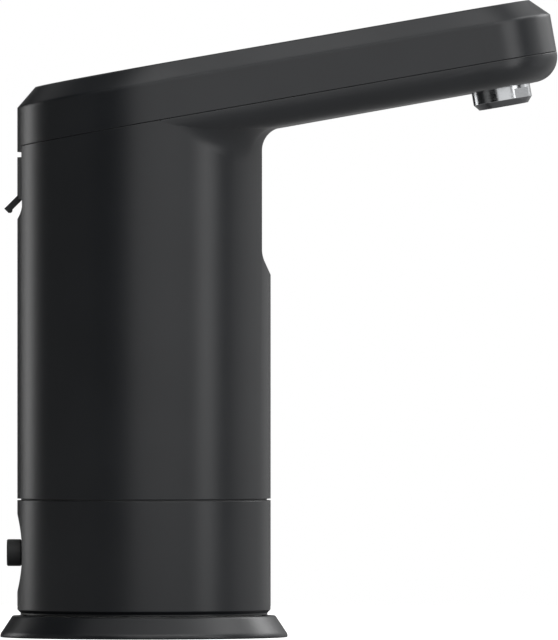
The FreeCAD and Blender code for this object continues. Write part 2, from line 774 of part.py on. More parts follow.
def base_cover():
    body = doc.addObject("PartDesign::Body", "Cover")
    plate = sketch_on(body, "XY_Plane", "Plate")
    plate.AttachmentOffset = Placement(Vector(0, 0, float(cover_foot)), Rotation())
    plate.setExpression("AttachmentOffset.Base.z", cover_foot.formula)
    plate.addGeometry(Part.Circle(Vector(), Vector(0, 0, 1), float(base_bore - dim.slip)), False)
    plate.addConstraint(Sketcher.Constraint("Coincident", 0, 3, -1, 1))
    number = plate.addConstraint(Sketcher.Constraint("Radius", 0, float(base_bore - dim.slip)))
    plate.setExpression(f"Constraints[{number}]", (base_bore - dim.slip).formula)
    pad = body.newObject("PartDesign::Pad", "PlatePad")
    pad.Profile = plate
    bind(pad, "Length", dim.coverThick)
    doc.recompute()
    places = [polar(dim.magnetRing, angle) for angle in (60, 180, 300)]
    seat = cover_foot + 1
    cups = [rod(dim.magnetRadius + 1.2, seat + dim.magnetThick - cover_top + 0.2, (x, y, cover_top))
            for x, y in places]
    groove = tube(dim.footInner + dim.footWidth + dim.runFit, dim.footInner - dim.runFit,
                  dim.footThick - dim.baseGap + 1, (0, 0, cover_foot - 1))
    tools = [groove]
    tools += [rod(dim.magnetRadius + dim.runFit, dim.magnetThick + 2, (x, y, seat)) for x, y in places]
    tools += [rod(screw_hole, dim.coverThick, (x, y, cover_foot)) for x, y in base_screw_places()]
    tools += [rod(head_seat, dim.screwHeadThick + 0.2, (x, y, cover_foot))
              for x, y in base_screw_places()]
    node("base_cover", cut(join([body] + cups), tools))
    node("base_magnets", group([rod(dim.magnetRadius, dim.magnetThick, (x, y, seat)) for x, y in places]))
    node("foot_ring", tube(dim.footInner + dim.footWidth, dim.footInner, dim.footThick, (0, 0, dish_floor)))
    head = cover_foot + dim.screwHeadThick + 0.2
    node("base_cover_screws", group([screw((x, y, head), UP, 8) for x, y in base_screw_places()]))


def inlet_spigot():
    rise = inlet_rise
    face = pad_inner
    wall_end = -(dim.columnRadius - dim.inletSink + dim.inletNeck)
    inlet_tip = dim.columnRadius + dim.inletReach
    tip = -(inlet_tip - dim.inletRound)
    outer = rod(dim.inletRadius, wall_end - tip, (tip, 0, rise), FRONT)
    nose = rod(dim.inletRadius - dim.inletRound, dim.inletRound, (-inlet_tip, 0, rise), FRONT)
    rim = ring(dim.inletRadius - dim.inletRound, dim.inletRound, (tip, 0, rise), 360, FRONT)
    neck = rod(dim.inletRadius - 0.2, face - wall_end, (wall_end, 0, rise), FRONT)
    flange = slab((face, face + 2), 11, (rise - 5.5, rise + 5.5))
    barb = rod(dim.baseHoseBore, 8, (face + 2, 0, rise), FRONT)
    length = face + 10 + inlet_tip
    tools = [rod(dim.waterBore, length, (-inlet_tip, 0, rise), FRONT)]
    tools += [rod(screw_hole, 2, (face, y, rise), FRONT) for y in spigot_screw_sides()]
    node("inlet_spigot", cut(join([outer, nose, rim, neck, flange, barb]), tools))
    node("spigot_screws", group([screw((face + 2, y, rise), REAR, 6) for y in spigot_screw_sides()]))
    start, end = face + 2.2, -(dim.elbowRadius + 1.2)
    node("base_hose", tube(dim.baseHoseBore + dim.hoseWall, dim.baseHoseBore, end - start,
                           (start, 0, rise), FRONT))


def swivel_stem():
    rise = inlet_rise
    bend = rise + dim.elbowRadius
    flange_foot = base_ceiling - dim.flangeThick
    wall = dim.baseHoseBore + 1.2
    drop = Rotation(Vector(1, 0, 0), -90)
    solid = [
        rod(dim.stemRadius, stem_top - base_ceiling, (0, 0, base_ceiling)),
        rod(dim.stemFlange, dim.flangeThick, (0, 0, flange_foot)),
        rod(wall, base_ceiling - bend, (0, 0, bend)),
        ring(dim.elbowRadius, wall, (-dim.elbowRadius, 0, bend), 90, drop),
        rod(wall, 1, (-(dim.elbowRadius + 1), 0, rise), FRONT),
        rod(dim.baseHoseBore, 9, (-(dim.elbowRadius + 9), 0, rise), FRONT),
    ]
    tools = [
        rod(dim.waterBore, stem_top - bend, (0, 0, bend)),
        ring(dim.elbowRadius, dim.waterBore, (-dim.elbowRadius, 0, bend), 90, drop),
        rod(dim.waterBore, 9, (-(dim.elbowRadius + 9), 0, rise), FRONT),
        tube(dim.stemRadius + 1, dim.clipSeat, dim.clipThick + 0.1, (0, 0, hub_top + 0.2)),
    ]
    tools += [tube(dim.stemRadius + 1, dim.sealSeat, 1.6, (0, 0, z)) for z in seal_levels()]
    tools += [rod(screw_hole, dim.flangeThick, (x, y, flange_foot)) for x, y in stem_screw_places()]
    node("swivel_stem", cut(join(solid), tools))
    node("stem_screws", group([screw((x, y, flange_foot), UP, 6) for x, y in stem_screw_places()]))
    seals = [ring(dim.sealSeat + dim.sealSection, dim.sealSection, (0, 0, z + 0.8)) for z in seal_levels()]
    node("swivel_seals", group(seals))
    node("swivel_clip", retaining_clip())
    node("slide_ring", tube(ring_outer, dim.ringInner, dim.ringSink + dim.waistGap - dim.runFit,
                            (0, 0, dim.baseTop - dim.ringSink)))


def seal_levels():
    return [seal_rise, seal_rise + dim.sealPitch]


def retaining_clip():
    """An open ring that sits in the stem's groove over the hub."""
    level = hub_top + 0.2
    ring_shape = tube(dim.clipRadius, dim.clipSeat, dim.clipThick, (0, 0, level))
    mouth = block((dim.clipRadius + 1, dim.clipSeat * 1.7, dim.clipThick), (0, -dim.clipSeat * 0.85, level))
    return cut(ring_shape, [mouth])


# The column's floor and the swivel cap on it


def floor_screw_places():
    return [polar(dim.columnRadius - dim.floorScrewEdge, angle) for angle in (45, 135, 225, 315)]


def holder_leg_places():
    return [(-dim.cellBack, cell_side + dim.legOffset), (-dim.cellBack, -(cell_side + dim.legOffset))]


def stand_leg_places():
    half = dim.pumpWidth / 2
    front, rear = dim.pumpX + half + 2, dim.pumpX - half + 11
    return [(front, half), (front, -half), (rear, half + 4.5), (rear, -(half + 4.5))]


def cap_screw_places():
    return [polar(cap_radius + dim.screwHead + 0.8, angle) for angle in (0, 120, 240)]


def head_floor():
    plate = rod(column_bore - dim.slip, dim.floorThick, (0, 0, column_foot))
    hub = rod(dim.hubRadius, hub_top - column_foot, (0, 0, column_foot))
    tools = [rod(dim.stemRadius + dim.runFit, hub_top - column_foot, (0, 0, column_foot))]
    for x, y in floor_screw_places() + holder_leg_places() + stand_leg_places():
        tools.append(rod(screw_hole, dim.floorThick, (x, y, column_foot)))
        tools.append(rod(head_seat, dim.screwHeadThick + 0.1, (x, y, column_foot)))
    skin = 0.4
    tools += [rod(dim.screwShank, dim.floorThick - skin, (x, y, column_foot + skin))
              for x, y in cap_screw_places()]
    node("head_floor", cut(join([plate, hub]), tools))
    head = column_foot + dim.screwHeadThick + 0.1
    node("floor_screws", group([screw((x, y, head), UP, 9) for x, y in floor_screw_places()]))
    node("holder_screws", group([screw((x, y, head), UP, 7) for x, y in holder_leg_places()]))
    node("stand_screws", group([screw((x, y, head), UP, 7) for x, y in stand_leg_places()]))


def swivel_cap():
    inner = cap_radius - dim.capWall
    flange = rod(cap_radius + 1.2, 2.5, (0, 0, floor_top))
    ears = [rod(dim.bossRadius, 2.5, (x, y, floor_top)) for x, y in cap_screw_places()]
    barrel = rod(cap_radius, cap_top - floor_top, (0, 0, floor_top))
    barb = rod(dim.hoseBore, dim.barbLength, (0, 0, cap_top))
    seal_foot = hub_top + 2.8
    tools = [
        rod(inner, seal_foot - floor_top, (0, 0, floor_top)),
        rod(dim.stemRadius + dim.runFit, stem_top + 0.5 - seal_foot, (0, 0, seal_foot)),
        rod(dim.barbBore, cap_top + dim.barbLength - stem_top, (0, 0, stem_top)),
    ]
    tools += [rod(screw_hole, 2.5, (x, y, floor_top)) for x, y in cap_screw_places()]
    node("swivel_cap", cut(join([flange, barrel, barb] + ears), tools))
    node("cap_screws", group([screw((x, y, floor_top + 2.5), DOWN, 5) for x, y in cap_screw_places()]))


# The column and spout: main housing and top cover


def shaft_inside():
    """The room inside the column, closed in front by the flat wall."""
    ceiling = float(dim.topRise) + 40
    room = rod(column_bore, dim.topRise - column_foot, (0, 0, column_foot - 1))
    flat = front_flat(flat_face - dim.shellWall, dim.rampFoot - 1, dim.rampTop - 1, ceiling)
    return cut(room, [flat])


def cover_screw_places():
    return [polar(dim.columnRadius - dim.coverScrewEdge, angle) for angle in (130, 230)]


def ear_places():
    return [(nozzle_reach, side * dim.earOffset) for side in (1, -1)]


def main_housing():
    ceiling = float(dim.topRise) + 40
    column = cut(rod(dim.columnRadius, dim.topRise - column_foot + 10, (0, 0, column_foot)), [
        front_flat(flat_face, dim.rampFoot, dim.rampTop, ceiling),
        sloped(block((far, far, 60), (-far / 2, -far / 2, -seam_depth))),
    ])
    spout = shell(dim.spoutDepth, seam_depth, rounding=dim.spoutRound)
    outside = join([column, spout, junction_web()])
    spout_room = shell(spout_floor, seam_depth - 8, dim.shellWall, rounding=dim.spoutRound - dim.shellWall)
    walls = cut(outside, [shaft_inside(), spout_room])

    bosses = [rod(dim.bossRadius, dim.bossHeight, (x, y, floor_top)) for x, y in floor_screw_places()]
    lugs = [rod(dim.bossRadius + 2.6, dim.lugThick, (u, y, -(seam_depth + dim.lugThick)))
            for u, y in cover_screw_places()]
    posts = [rod(dim.bossRadius, dim.spoutDepth - 1 - ear_foot, (u, y, -(dim.spoutDepth - 1)))
             for u, y in ear_places()]
    inner_skin = dim.columnRadius - 0.4
    pad = slab((-inner_skin, -pad_face), 13, (grip_foot - 2, flap_top + 1))
    shelf = slab((-inner_skin, -(pad_face - 13)), 11, (shelf_top - dim.shelfThick, shelf_top))
    rear = common(rod(inner_skin, 30, (0, 0, grip_foot - 5)), join([pad, shelf]))
    trim = common(sloped(join(lugs)), rod(inner_skin, dim.topRise, (0, 0, column_foot)))
    solid = join([walls, trim, sloped(join(posts)), rear] + bosses)

    grip = grip_recess()
    tools = [
        rear_band(dim.tongueThick + 0.15, dim.flapHalf + 0.15, (flap_top, dim.topRise)),
        rear_band(dim.flapThick + 0.1, dim.flapHalf + 0.1, (flap_foot - 0.1, flap_top)),
        grip,
        port_slot(dim.portDoor, dim.portDoorRise, (-(dim.columnRadius + 1), -(pad_face - 1))),
        slab((-(dim.columnRadius + 1), -(pad_face - 1)), 3.1, (flap_top - 2.4, flap_top - 0.9)),
        sloped(rod(dim.nozzleRadius + dim.looseFit, dim.shellWall + 2,
                   (nozzle_reach, 0, -(dim.spoutDepth + 1)))),
    ]
    tools += [rod(dim.screwShank, 10, (x, y, floor_top)) for x, y in floor_screw_places()]
    tools += [sloped(rod(screw_hole, dim.lugThick + 1, (u, y, -(seam_depth + dim.lugThick + 0.5))))
              for u, y in cover_screw_places()]
    tools += [sloped(rod(dim.screwShank, 4, (u, y, -(dim.socketTop + 5.5)))) for u, y in ear_places()]
    tools += [rod(dim.smallShank, 3, (x, y, shelf_top - 3)) for x, y in port_screw_places()]
    node("main_housing", cut(solid, tools))


def grip_recess():
    """A shallow hollow for a fingertip below the flap."""
    surface = -float(dim.columnRadius)
    top, foot = float(grip_top), float(grip_foot)
    points = [
        Vector(surface - 1, 0, top),
        Vector(surface + float(dim.gripSink), 0, top),
        Vector(surface + 0.88 * float(dim.gripSink), 0, (top + foot) / 2),
        Vector(surface, 0, foot),
        Vector(surface - 1, 0, foot),
    ]
    wire = Part.Wire([
        Part.LineSegment(points[0], points[1]).toShape(),
        Part.Arc(*points[1:4]).toShape(),
        Part.LineSegment(points[3], points[4]).toShape(),
        Part.LineSegment(points[4], points[0]).toShape(),
    ])
    return free_shape(both_ways(wire, float(dim.gripHalf)))


def top_cover():
    inner_bevel = dim.topBevel - dim.shellWall * (2 - math.sqrt(2))
    outside = shell(dim.coverDepth, 0, bevel=dim.topBevel)
    room = shell(dim.coverDepth + 1, dim.shellWall, dim.shellWall, bevel=inner_bevel)
    roof = cut(outside, [room])
    lip = top_lip()
    tongue = common(rear_band(dim.tongueThick, dim.flapHalf, (flap_top + dim.tongueGap, dim.topRise - 12)),
                    rod(dim.columnRadius, dim.topRise))
    tongue = common(tongue, sloped(block((far, far, 10), (-far / 2, -far / 2, -(dim.coverDepth + 9)))))
    cover_bosses = [rod(dim.bossRadius, seam_depth - dim.shellWall + 0.5, (u, y, -seam_depth))
                    for u, y in cover_screw_places()]
    touch_pads = [rod(2.2, 1.5, (u, y, -(dim.shellWall + 1))) for u, y in touch_screw_places()]
    board_posts = [rod(2.6, dim.boardDrop - dim.shellWall + 0.5, (u, y, -dim.boardDrop))
                   for u, y in board_screw_places()]
    inside = common(sloped(join(cover_bosses + touch_pads + board_posts)),
                    shell(seam_depth, 0.5, 0.5, bevel=dim.topBevel))
    tools = [rod(dim.touchRadius + dim.slip, dim.touchThick, (dim.touchReach, 0, -dim.touchThick))]
    tools += [rod(dim.screwShank, 9, (u, y, -seam_depth)) for u, y in cover_screw_places()]
    tools += [rod(dim.smallShank, 2.2, (u, y, -(dim.shellWall + 1))) for u, y in touch_screw_places()]
    tools += [rod(dim.smallShank, 6, (u, y, -dim.boardDrop)) for u, y in board_screw_places()]
    node("top_cover", cut(join([roof, lip, tongue, inside]), [sloped(join(tools))]))
    node("touch_panel", sloped(rod(dim.touchRadius, dim.touchThick, (dim.touchReach, 0, -dim.touchThick))))
    heads = [screw((u, y, -(seam_depth + dim.lugThick)), UP, 10) for u, y in cover_screw_places()]
    node("cover_screws", sloped(group(heads)))


def top_lip():
    """The cover's inner lip along the spout, which lines it up with the housing."""
    wall = float(dim.shellWall)
    inner = wall + float(dim.lipThick) + float(dim.lipInset)
    root_foot = float(dim.coverDepth)
    upper = shell(root_foot, root_foot - 5, wall - 0.3)
    lower = shell(root_foot + float(dim.lipDrop), root_foot, wall + float(dim.lipInset))
    room = shell(root_foot + 3, root_foot - 6, inner)
    reach = sloped(block((far, far, far), (dim.lipStart, -far / 2, -far / 2)))
    return common(cut(join([upper, lower]), [room]), reach)


# Power: cells, holder and charging port


def battery():
    end = cell_foot + dim.cellLength
    centres = [(-dim.cellBack, cell_side), (-dim.cellBack, -cell_side)]
    cells = []
    for x, y in centres:
        can = rod(dim.cellRadius, dim.cellLength - 0.6, (x, y, cell_foot))
        cells.append(join([can, rod(dim.cellRadius * 0.32, 0.6, (x, y, end - 0.6))]))
    node("battery_cells", group(cells))
    tab_range = (-dim.cellBack - 4, -dim.cellBack + 4)
    lower = slab(tab_range, cell_side + 4, (cell_foot - dim.tabThick, cell_foot))
    upper = slab(tab_range, cell_side + 4, (end, end + dim.tabThick))
    node("battery_tabs", group([lower, upper]))

    room = dim.cellRadius + dim.slip
    reach = room + dim.holderWall
    x_range = (-dim.cellBack - reach, -dim.cellBack + reach)
    side = cell_side + reach
    foot = cell_foot - dim.tabThick - 2
    top = end + dim.tabThick + 2
    lower_plate = slab(x_range, side, (foot, cell_foot + dim.holderGrip))
    upper_plate = slab(x_range, side, (end - dim.holderGrip, top))
    spine = slab((x_range[0], x_range[0] + 2), 5, (foot, top))
    legs = [rod(dim.legRadius, foot - floor_top + 1, (x, y, floor_top)) for x, y in holder_leg_places()]
    room_length = end - cell_foot + 2 * dim.tabThick
    tools = [rod(room, room_length, (x, y, cell_foot - dim.tabThick)) for x, y in centres]
    tools += [rod(dim.screwShank, 9, (x, y, floor_top)) for x, y in holder_leg_places()]
    tools.append(slab((-dim.cellBack - 2.5, -dim.cellBack + 2.5), 3, (end, top)))
    tools += [slab((-dim.cellBack - 4.1, -dim.cellBack + 4.1), cell_side + 4.1, levels)
              for levels in ((cell_foot - dim.tabThick, cell_foot), (end, end + dim.tabThick))]
    tools.append(rod(cap_radius + 0.4, cap_top - floor_top + 0.3, (0, 0, floor_top)))
    clip = common(join([lower_plate, upper_plate, spine] + legs), rod(column_bore - 0.4, 200))
    node("battery_holder", cut(clip, tools))


def port_screw_places():
    return [(-(pad_face - 9.5), 8), (-(pad_face - 9.5), -8)]


def charging_port():
    mouth = -(dim.columnRadius - dim.portSetback)
    low = port_rise - dim.portHeight / 2
    radius = dim.portHeight / 2
    can = port_slot(dim.portWidth / 2, radius, (mouth, mouth + dim.portLength))
    room = port_slot(dim.portWidth / 2 - 0.3, radius - 0.3, (mouth, mouth + dim.portLength - 1.2))
    tongue = slab((mouth + 1, mouth + dim.portLength - 1), 3.3, (port_rise - 0.35, port_rise + 0.35))
    node("charging_port", join([cut(can, [room]), tongue]))
    front, rear = -(pad_face - 0.2), -(pad_face - 15)
    board = slab((front, rear), 10.5, (shelf_top, low))
    drills = [rod(small_hole, dim.boardThick, (x, y, shelf_top)) for x, y in port_screw_places()]
    node("port_board", cut(board, drills))
    node("port_board_screws", group([screw((x, y, low), DOWN, 4, True) for x, y in port_screw_places()]))


def port_flap():
    """The rubber flap with its plug, pull tab and grip bead."""
    thick = dim.flapThick
    height = flap_top - 0.15 - flap_foot
    skin = tube(dim.columnRadius, dim.columnRadius - thick, height, (0, 0, flap_foot))
    body = common(skin, slab((-(dim.columnRadius + 1), -dim.columnRadius / 2), dim.flapHalf,
                             (flap_foot - 1, flap_top)))
    inner = -(dim.columnRadius - thick - 0.1)
    plug = port_slot(dim.portDoor - 0.9, dim.portDoorRise - 0.8, (inner - 0.6, inner + 1.0))
    lean = math.sqrt(0.5)
    out = -(dim.columnRadius + (dim.tabSection + dim.tabReach) * lean)
    low = flap_foot - dim.tabDrop + (dim.tabSection - dim.tabReach) * lean
    turned = Rotation(Vector(0, 1, 0), 45)
    tab = block((dim.tabSection, 2 * dim.tabHalf, dim.tabReach + 2), (0, 0, 0))
    place(tab, (out, -dim.tabHalf, low), turned)
    across = dim.tabSection + dim.beadProud - dim.beadRadius
    bead_x = out + (dim.beadRadius + across) * lean
    bead_z = low + (dim.beadRadius - across) * lean
    bead = rod(dim.beadRadius, 2 * dim.tabHalf - 0.4, (bead_x, 0.2 - dim.tabHalf, bead_z), LEFT)
    node("port_flap", join([body, plug, tab, bead]))


def flap_anchor():
    """The flap's rubber root, pushed through the wall above the port."""
    outer = -(dim.columnRadius - dim.flapThick - 0.45)
    neck = slab((outer, -(pad_face - 0.1)), 3, (flap_top - 2.3, flap_top - 1))
    head = slab((-(pad_face - 0.1), -(pad_face - 1.6)), 4.5, (flap_top - 3.2, flap_top - 0.1))
    node("flap_anchor", join([neck, head]))


# Water way in the head: pump, hoses and outlet


def pump():
    x = dim.pumpX
    half = dim.pumpWidth / 2
    motor_foot = pump_foot + dim.pumpHeight
    head = slab((x - half, x + half), half, (pump_foot, motor_foot))
    outlet = pump_foot + dim.pumpPort
    joint = (outlet + 1, outlet + 1.8)
    waist = slab((x - half - 1, x + half + 1), half + 1, joint)
    rim = cut(waist, [slab((x - half + 0.6, x + half - 0.6), half - 0.6, joint)])
    intake = rod(dim.hoseBore, dim.barbLength, (0, 0, pump_foot - dim.barbLength))
    side = rod(dim.hoseBore, 5.5, (x, half, outlet), LEFT)
    tools = [rim,
             rod(dim.barbBore, dim.barbLength + 4, (0, 0, pump_foot - dim.barbLength)),
             rod(dim.barbBore, 9, (x, half - 3.5, outlet), LEFT)]
    tools += [rod(dim.screwShank, 5, (gx, gy, pump_foot)) for gx, gy in grommet_places()]
    node("pump_head", cut(join([head, intake, side]), tools))
    can = rod(dim.motorRadius, dim.motorLength, (x, 0, motor_foot))
    cap = rod(dim.motorRadius * 0.4, 1.5, (x, 0, motor_foot + dim.motorLength))
    lugs = [slab((x + s * 7 - 0.25, x + s * 7 + 0.25), 1.4,
                 (motor_foot + dim.motorLength, motor_foot + dim.motorLength + 3)) for s in (1, -1)]
    node("pump_motor", join([can, cap] + lugs))

    plate_foot = stand_top - dim.standThick
    plate = slab((x - half - 2, x + half + 2), half + 3, (plate_foot, stand_top))
    wings = [rod(dim.legRadius, stand_top - floor_top, (lx, ly, floor_top)) for lx, ly in stand_leg_places()]
    tools = [rod(dim.hoseBore + dim.hoseWall + 1.2, dim.standThick, (0, 0, plate_foot))]
    tools += [rod(dim.screwShank, 9, (lx, ly, floor_top)) for lx, ly in stand_leg_places()]
    tools += [rod(grommet_hole, dim.standThick, (gx, gy, plate_foot)) for gx, gy in grommet_places()]
    node("pump_stand", cut(join([plate] + wings), tools))
    feet = [tube(dim.grommetRadius, screw_hole, dim.grommetThick, (gx, gy, stand_top))
            for gx, gy in grommet_places()]
    node("pump_grommets", group(feet))
    length = dim.standThick + dim.grommetThick + 4.5
    node("pump_screws", group([screw((gx, gy, plate_foot), UP, length) for gx, gy in grommet_places()]))


def grommet_places():
    half = dim.pumpWidth / 2 - 3.7
    return [(dim.pumpX + half, half), (dim.pumpX + half, -half),
            (dim.pumpX - half + 6.2, half), (dim.pumpX - half + 6.2, -half)]


def hoses():
    outer = dim.hoseBore + dim.hoseWall
    start, end = cap_top + 0.2, pump_foot - 0.2
    node("suction_hose", tube(outer, dim.hoseBore, end - start, (0, 0, start)))
    x, half = float(dim.pumpX), float(dim.pumpWidth) / 2
    rise = float(pump_foot + dim.pumpPort)
    barb_end = float(nozzle_reach) - float(dim.fittingRadius) - 0.2
    points = [
        Vector(x, half + 0.2, rise),
        Vector(x, half + 12.7, rise),
        Vector(x, half + 12.7, rise + 44),
        on_slope(22, 19.5, dim.hoseLevel + 4),
        on_slope(52, 0, dim.hoseLevel),
        on_slope(barb_end, 0, dim.hoseLevel),
    ]
    path = route(points, [7.0, 16.0, 16.0, 30.0])
    solid = piped(path, outer).cut(piped(path, dim.hoseBore))
    node("discharge_hose", free_shape(solid))


def outlet_fitting():
    reach = nozzle_reach
    body = rod(dim.fittingRadius, spout_floor - dim.fittingTop, (reach, 0, -spout_floor))
    barb = rod(dim.hoseBore, dim.barbLength + 3,
               (reach - dim.fittingRadius - dim.barbLength, 0, -dim.hoseLevel), FRONT)
    ears = [rod(dim.bossRadius, dim.earThick, (u, y, -ear_foot)) for u, y in ear_places()]
    bridge = block((2 * dim.bossRadius, 2 * dim.earOffset, dim.earThick),
                   (reach - dim.bossRadius, -dim.earOffset, -ear_foot))
    tools = [
        rod(dim.neckRadius + dim.runFit, spout_floor - dim.socketTop, (reach, 0, -spout_floor)),
        rod(dim.chamberRadius, dim.socketTop - dim.chamberTop, (reach, 0, -dim.socketTop)),
        rod(dim.barbBore, dim.barbLength + dim.fittingRadius,
            (reach - dim.fittingRadius - dim.barbLength, 0, -dim.hoseLevel), FRONT),
    ]
    tools += [rod(screw_hole, dim.earThick, (u, y, -ear_foot)) for u, y in ear_places()]
    node("outlet_fitting", sloped(cut(join([body, barb, bridge] + ears), tools)))
    top = -ear_foot + dim.earThick
    heads = [screw((u, y, top), DOWN, 6) for u, y in ear_places()]
    node("fitting_screws", sloped(group(heads)))


def nozzle():
    """The metal sleeve, unscrewed by hand or with a spanner, and what it holds."""
    reach = nozzle_reach
    foot = -(dim.spoutDepth + dim.nozzleDrop)
    shoulder = -(spout_floor + 0.15)
    barrel = rod(dim.nozzleRadius, shoulder - foot - dim.nozzleBevel, (reach, 0, foot + dim.nozzleBevel))
    bevel_radius = dim.nozzleRadius - dim.nozzleSlant
    bevel = cone(bevel_radius, dim.nozzleRadius, dim.nozzleBevel, (reach, 0, foot))
    neck = rod(dim.neckRadius, dim.neckLength, (reach, 0, shoulder))
    inside = foot + dim.sleeveLip
    tools = [
        rod(dim.sleeveBore, shoulder + dim.neckLength - inside, (reach, 0, inside)),
        rod(dim.sleeveBore - 0.9, dim.sleeveLip, (reach, 0, foot)),
    ]
    for side in (1, -1):
        flat = block((4, 20, dim.nozzleDrop - 0.8), (dim.nozzleRadius - dim.nozzleFlat, -10, 0))
        angle = -45 if side > 0 else 135
        tools.append(place(group([flat]), (reach, 0, foot - 0.1), Rotation(Vector(0, 0, 1), angle)))
    node("nozzle_sleeve", sloped(cut(join([barrel, bevel, neck]), tools)))

    insert_foot = inside + 0.05
    insert_top = -(dim.socketTop + 2.6)
    insert = rod(dim.sleeveBore - 0.08, insert_top - insert_foot, (reach, 0, insert_foot))
    ways = [rod(0.9, insert_top - insert_foot, (reach + x, y, insert_foot)) for x, y in honeycomb(2.25, 2)]
    node("aerator_insert", sloped(cut(insert, ways)))
    mesh = rod(dim.sleeveBore - 0.08, 0.4, (reach, 0, insert_top))
    pores = [rod(0.55, 0.4, (reach + x, y, insert_top)) for x, y in honeycomb(1.55, 3)]
    node("aerator_mesh", sloped(cut(mesh, pores)))
    washer_top = -(dim.socketTop + 0.15)
    washer = tube(dim.sleeveBore - 0.08, 4.6, washer_top - insert_top - 0.4, (reach, 0, insert_top + 0.4))
    node("nozzle_washer", sloped(washer))


def honeycomb(pitch, rings):
    """Centres of a hexagonal pattern round a middle one."""
    found = []
    for row in range(-rings, rings + 1):
        for column in range(-rings, rings + 1):
            if abs(row + column) <= rings:
                found.append((pitch * (column + row / 2), pitch * row * math.sqrt(3) / 2))
    return found


# Electronics under the cover


def touch_screw_places():
    half = dim.touchBoard / 2 - 2.6
    return [(dim.touchReach + a * half, b * half) for a in (1, -1) for b in (1, -1)]


def board_screw_places():
    half = dim.boardWide / 2 - 3.6
    rear = -dim.boardBack + 3.6
    return [(u, side * half) for u in (rear, rear + dim.boardLong - 7.2) for side in (1, -1)]


def boards():
    top = -(dim.shellWall + 1)
    half = dim.touchBoard / 2
    plate = block((dim.touchBoard, dim.touchBoard, dim.boardThick),
                  (dim.touchReach - half, -half, top - dim.boardThick))
    drills = [rod(small_hole, dim.boardThick, (u, y, top - dim.boardThick))
              for u, y in touch_screw_places()]
    pillar = rod(6, 1, (dim.touchReach, 0, top))
    node("touch_board", sloped(cut(join([plate, pillar]), drills)))
    node("touch_board_screws", sloped(group([screw((u, y, top - dim.boardThick), UP, 3.2, True)
                                             for u, y in touch_screw_places()])))
    under = -control_face
    board = block((dim.boardLong, dim.boardWide, dim.controlThick),
                  (-dim.boardBack, -dim.boardWide / 2, under))
    drills = [rod(small_hole, dim.controlThick, (u, y, under)) for u, y in board_screw_places()]
    node("control_board", sloped(cut(board, drills)))
    chips = [
        block((7, 6, 1.1), (-dim.boardBack + 8, -9, under - 1.1)),
        block((5, 4, 1.4), (-dim.boardBack + 16, -2, under - 1.4)),
        block((6, 7.5, 4.5), (-dim.boardBack + 7.5, 3, under - 4.5)),
        block((5, 5.5, 4.5), (-dim.boardBack + 9, -16.5, under - 4.5)),
        block((3, 8, 3), (-dim.boardBack + 3.6, -4, under - 3)),
        rod(2.5, 5, (-dim.boardBack + 18, 7, under - 5)),
        rod(2.5, 5, (-dim.boardBack + 18, -7.5, under - 5)),
    ]
    node("board_components", sloped(group(chips)))
    node("board_screws", sloped(group([screw((u, y, under), UP, 6, True) for u, y in board_screw_places()])))


def leads():
    """Insulated leads that join the cells, motor, port and touch board to the control board."""
    short = Vector(0, 0, -0.15)
    back = float(dim.boardBack)
    under = float(control_face)
    tab_top = float(cell_foot + dim.cellLength + dim.tabThick)
    cells_x = -float(dim.cellBack) + 1.6
    paths = []
    for y, end_y in ((-1.4, 5.4), (1.4, 8.0)):
        end = on_slope(-back + 10.5, end_y, under + 4.5)
        paths.append(([Vector(cells_x, y, tab_top), Vector(cells_x, y, tab_top + 9),
                       Vector(end.x, end_y, end.z - 5), end + short], [3.0, 3.0]))
    lead_node("battery_leads", paths)

    motor_top = float(pump_foot + dim.pumpHeight + dim.motorLength) + 2.5
    paths = []
    for x, y, end_y in ((-7.0, 1.0, -15.2), (7.0, -1.0, -12.4)):
        start = Vector(float(dim.pumpX) + x + 1.05, 0, motor_top)
        end = on_slope(-back + 11.5, end_y, under + 4.5)
        paths.append(([start, start + Vector(0, 0, 6), Vector(end.x + 4, end_y, end.z - 5),
                       Vector(end.x, end_y, end.z - 4), end + short], [3.0, 2.0, 1.6]))
    lead_node("motor_leads", paths)

    end = on_slope(-back + 5.1, 0, under + 3)
    foot = float(port_rise - dim.portHeight / 2)
    paths = [([Vector(end.x, y, foot), Vector(end.x, y, end.z - 0.15)], []) for y in (-2.7, -0.9, 0.9, 2.7)]
    lead_node("port_leads", paths)

    top = float(dim.shellWall + 1 + dim.boardThick)
    face = float(dim.boardDrop)
    start_u, end_u = float(dim.touchReach - dim.touchBoard / 2) + 2.5, -back + float(dim.boardLong) - 2.5
    paths = [([on_slope(start_u, y, top), on_slope(start_u, y, top + 4), on_slope(end_u, y, face - 4),
               on_slope(end_u, y, face)], [1.8, 1.8]) for y in (-1.8, 0, 1.8)]
    lead_node("touch_leads", paths)


def lead_node(name, paths):
    solids = [piped(route(points, radii), dim.leadRadius) for points, radii in paths]
    node(name, free_shape(Part.makeCompound(solids)))


mounting_disc()
base_housing()
base_cover()
inlet_spigot()
swivel_stem()
head_floor()
swivel_cap()
main_housing()
top_cover()
battery()
charging_port()
port_flap()
flap_anchor()
pump()
hoses()
outlet_fitting()
nozzle()
boards()
leads()

doc.recompute()

failed = [item.Name for item in doc.Objects if {"Invalid", "Error"} & set(item.State)]
if failed:
    raise ValueError(f"failed objects: {failed}")

os.makedirs("parts", exist_ok=True)
for name, item in nodes.items():
    shape = item.Shape
    if shape.isNull() or not shape.isValid() or not shape.Solids:
        raise ValueError(f"{name} is not a valid solid")
    print(f"{name}: {len(shape.Solids)} solid(s), {shape.Volume:.0f} mm3")
    shape.exportStep(f"parts/{name}.step")
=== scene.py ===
"""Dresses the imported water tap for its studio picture: finishes, fine pieces, lamps and camera."""

import logging
import math
from dataclasses import dataclass
from enum import Enum

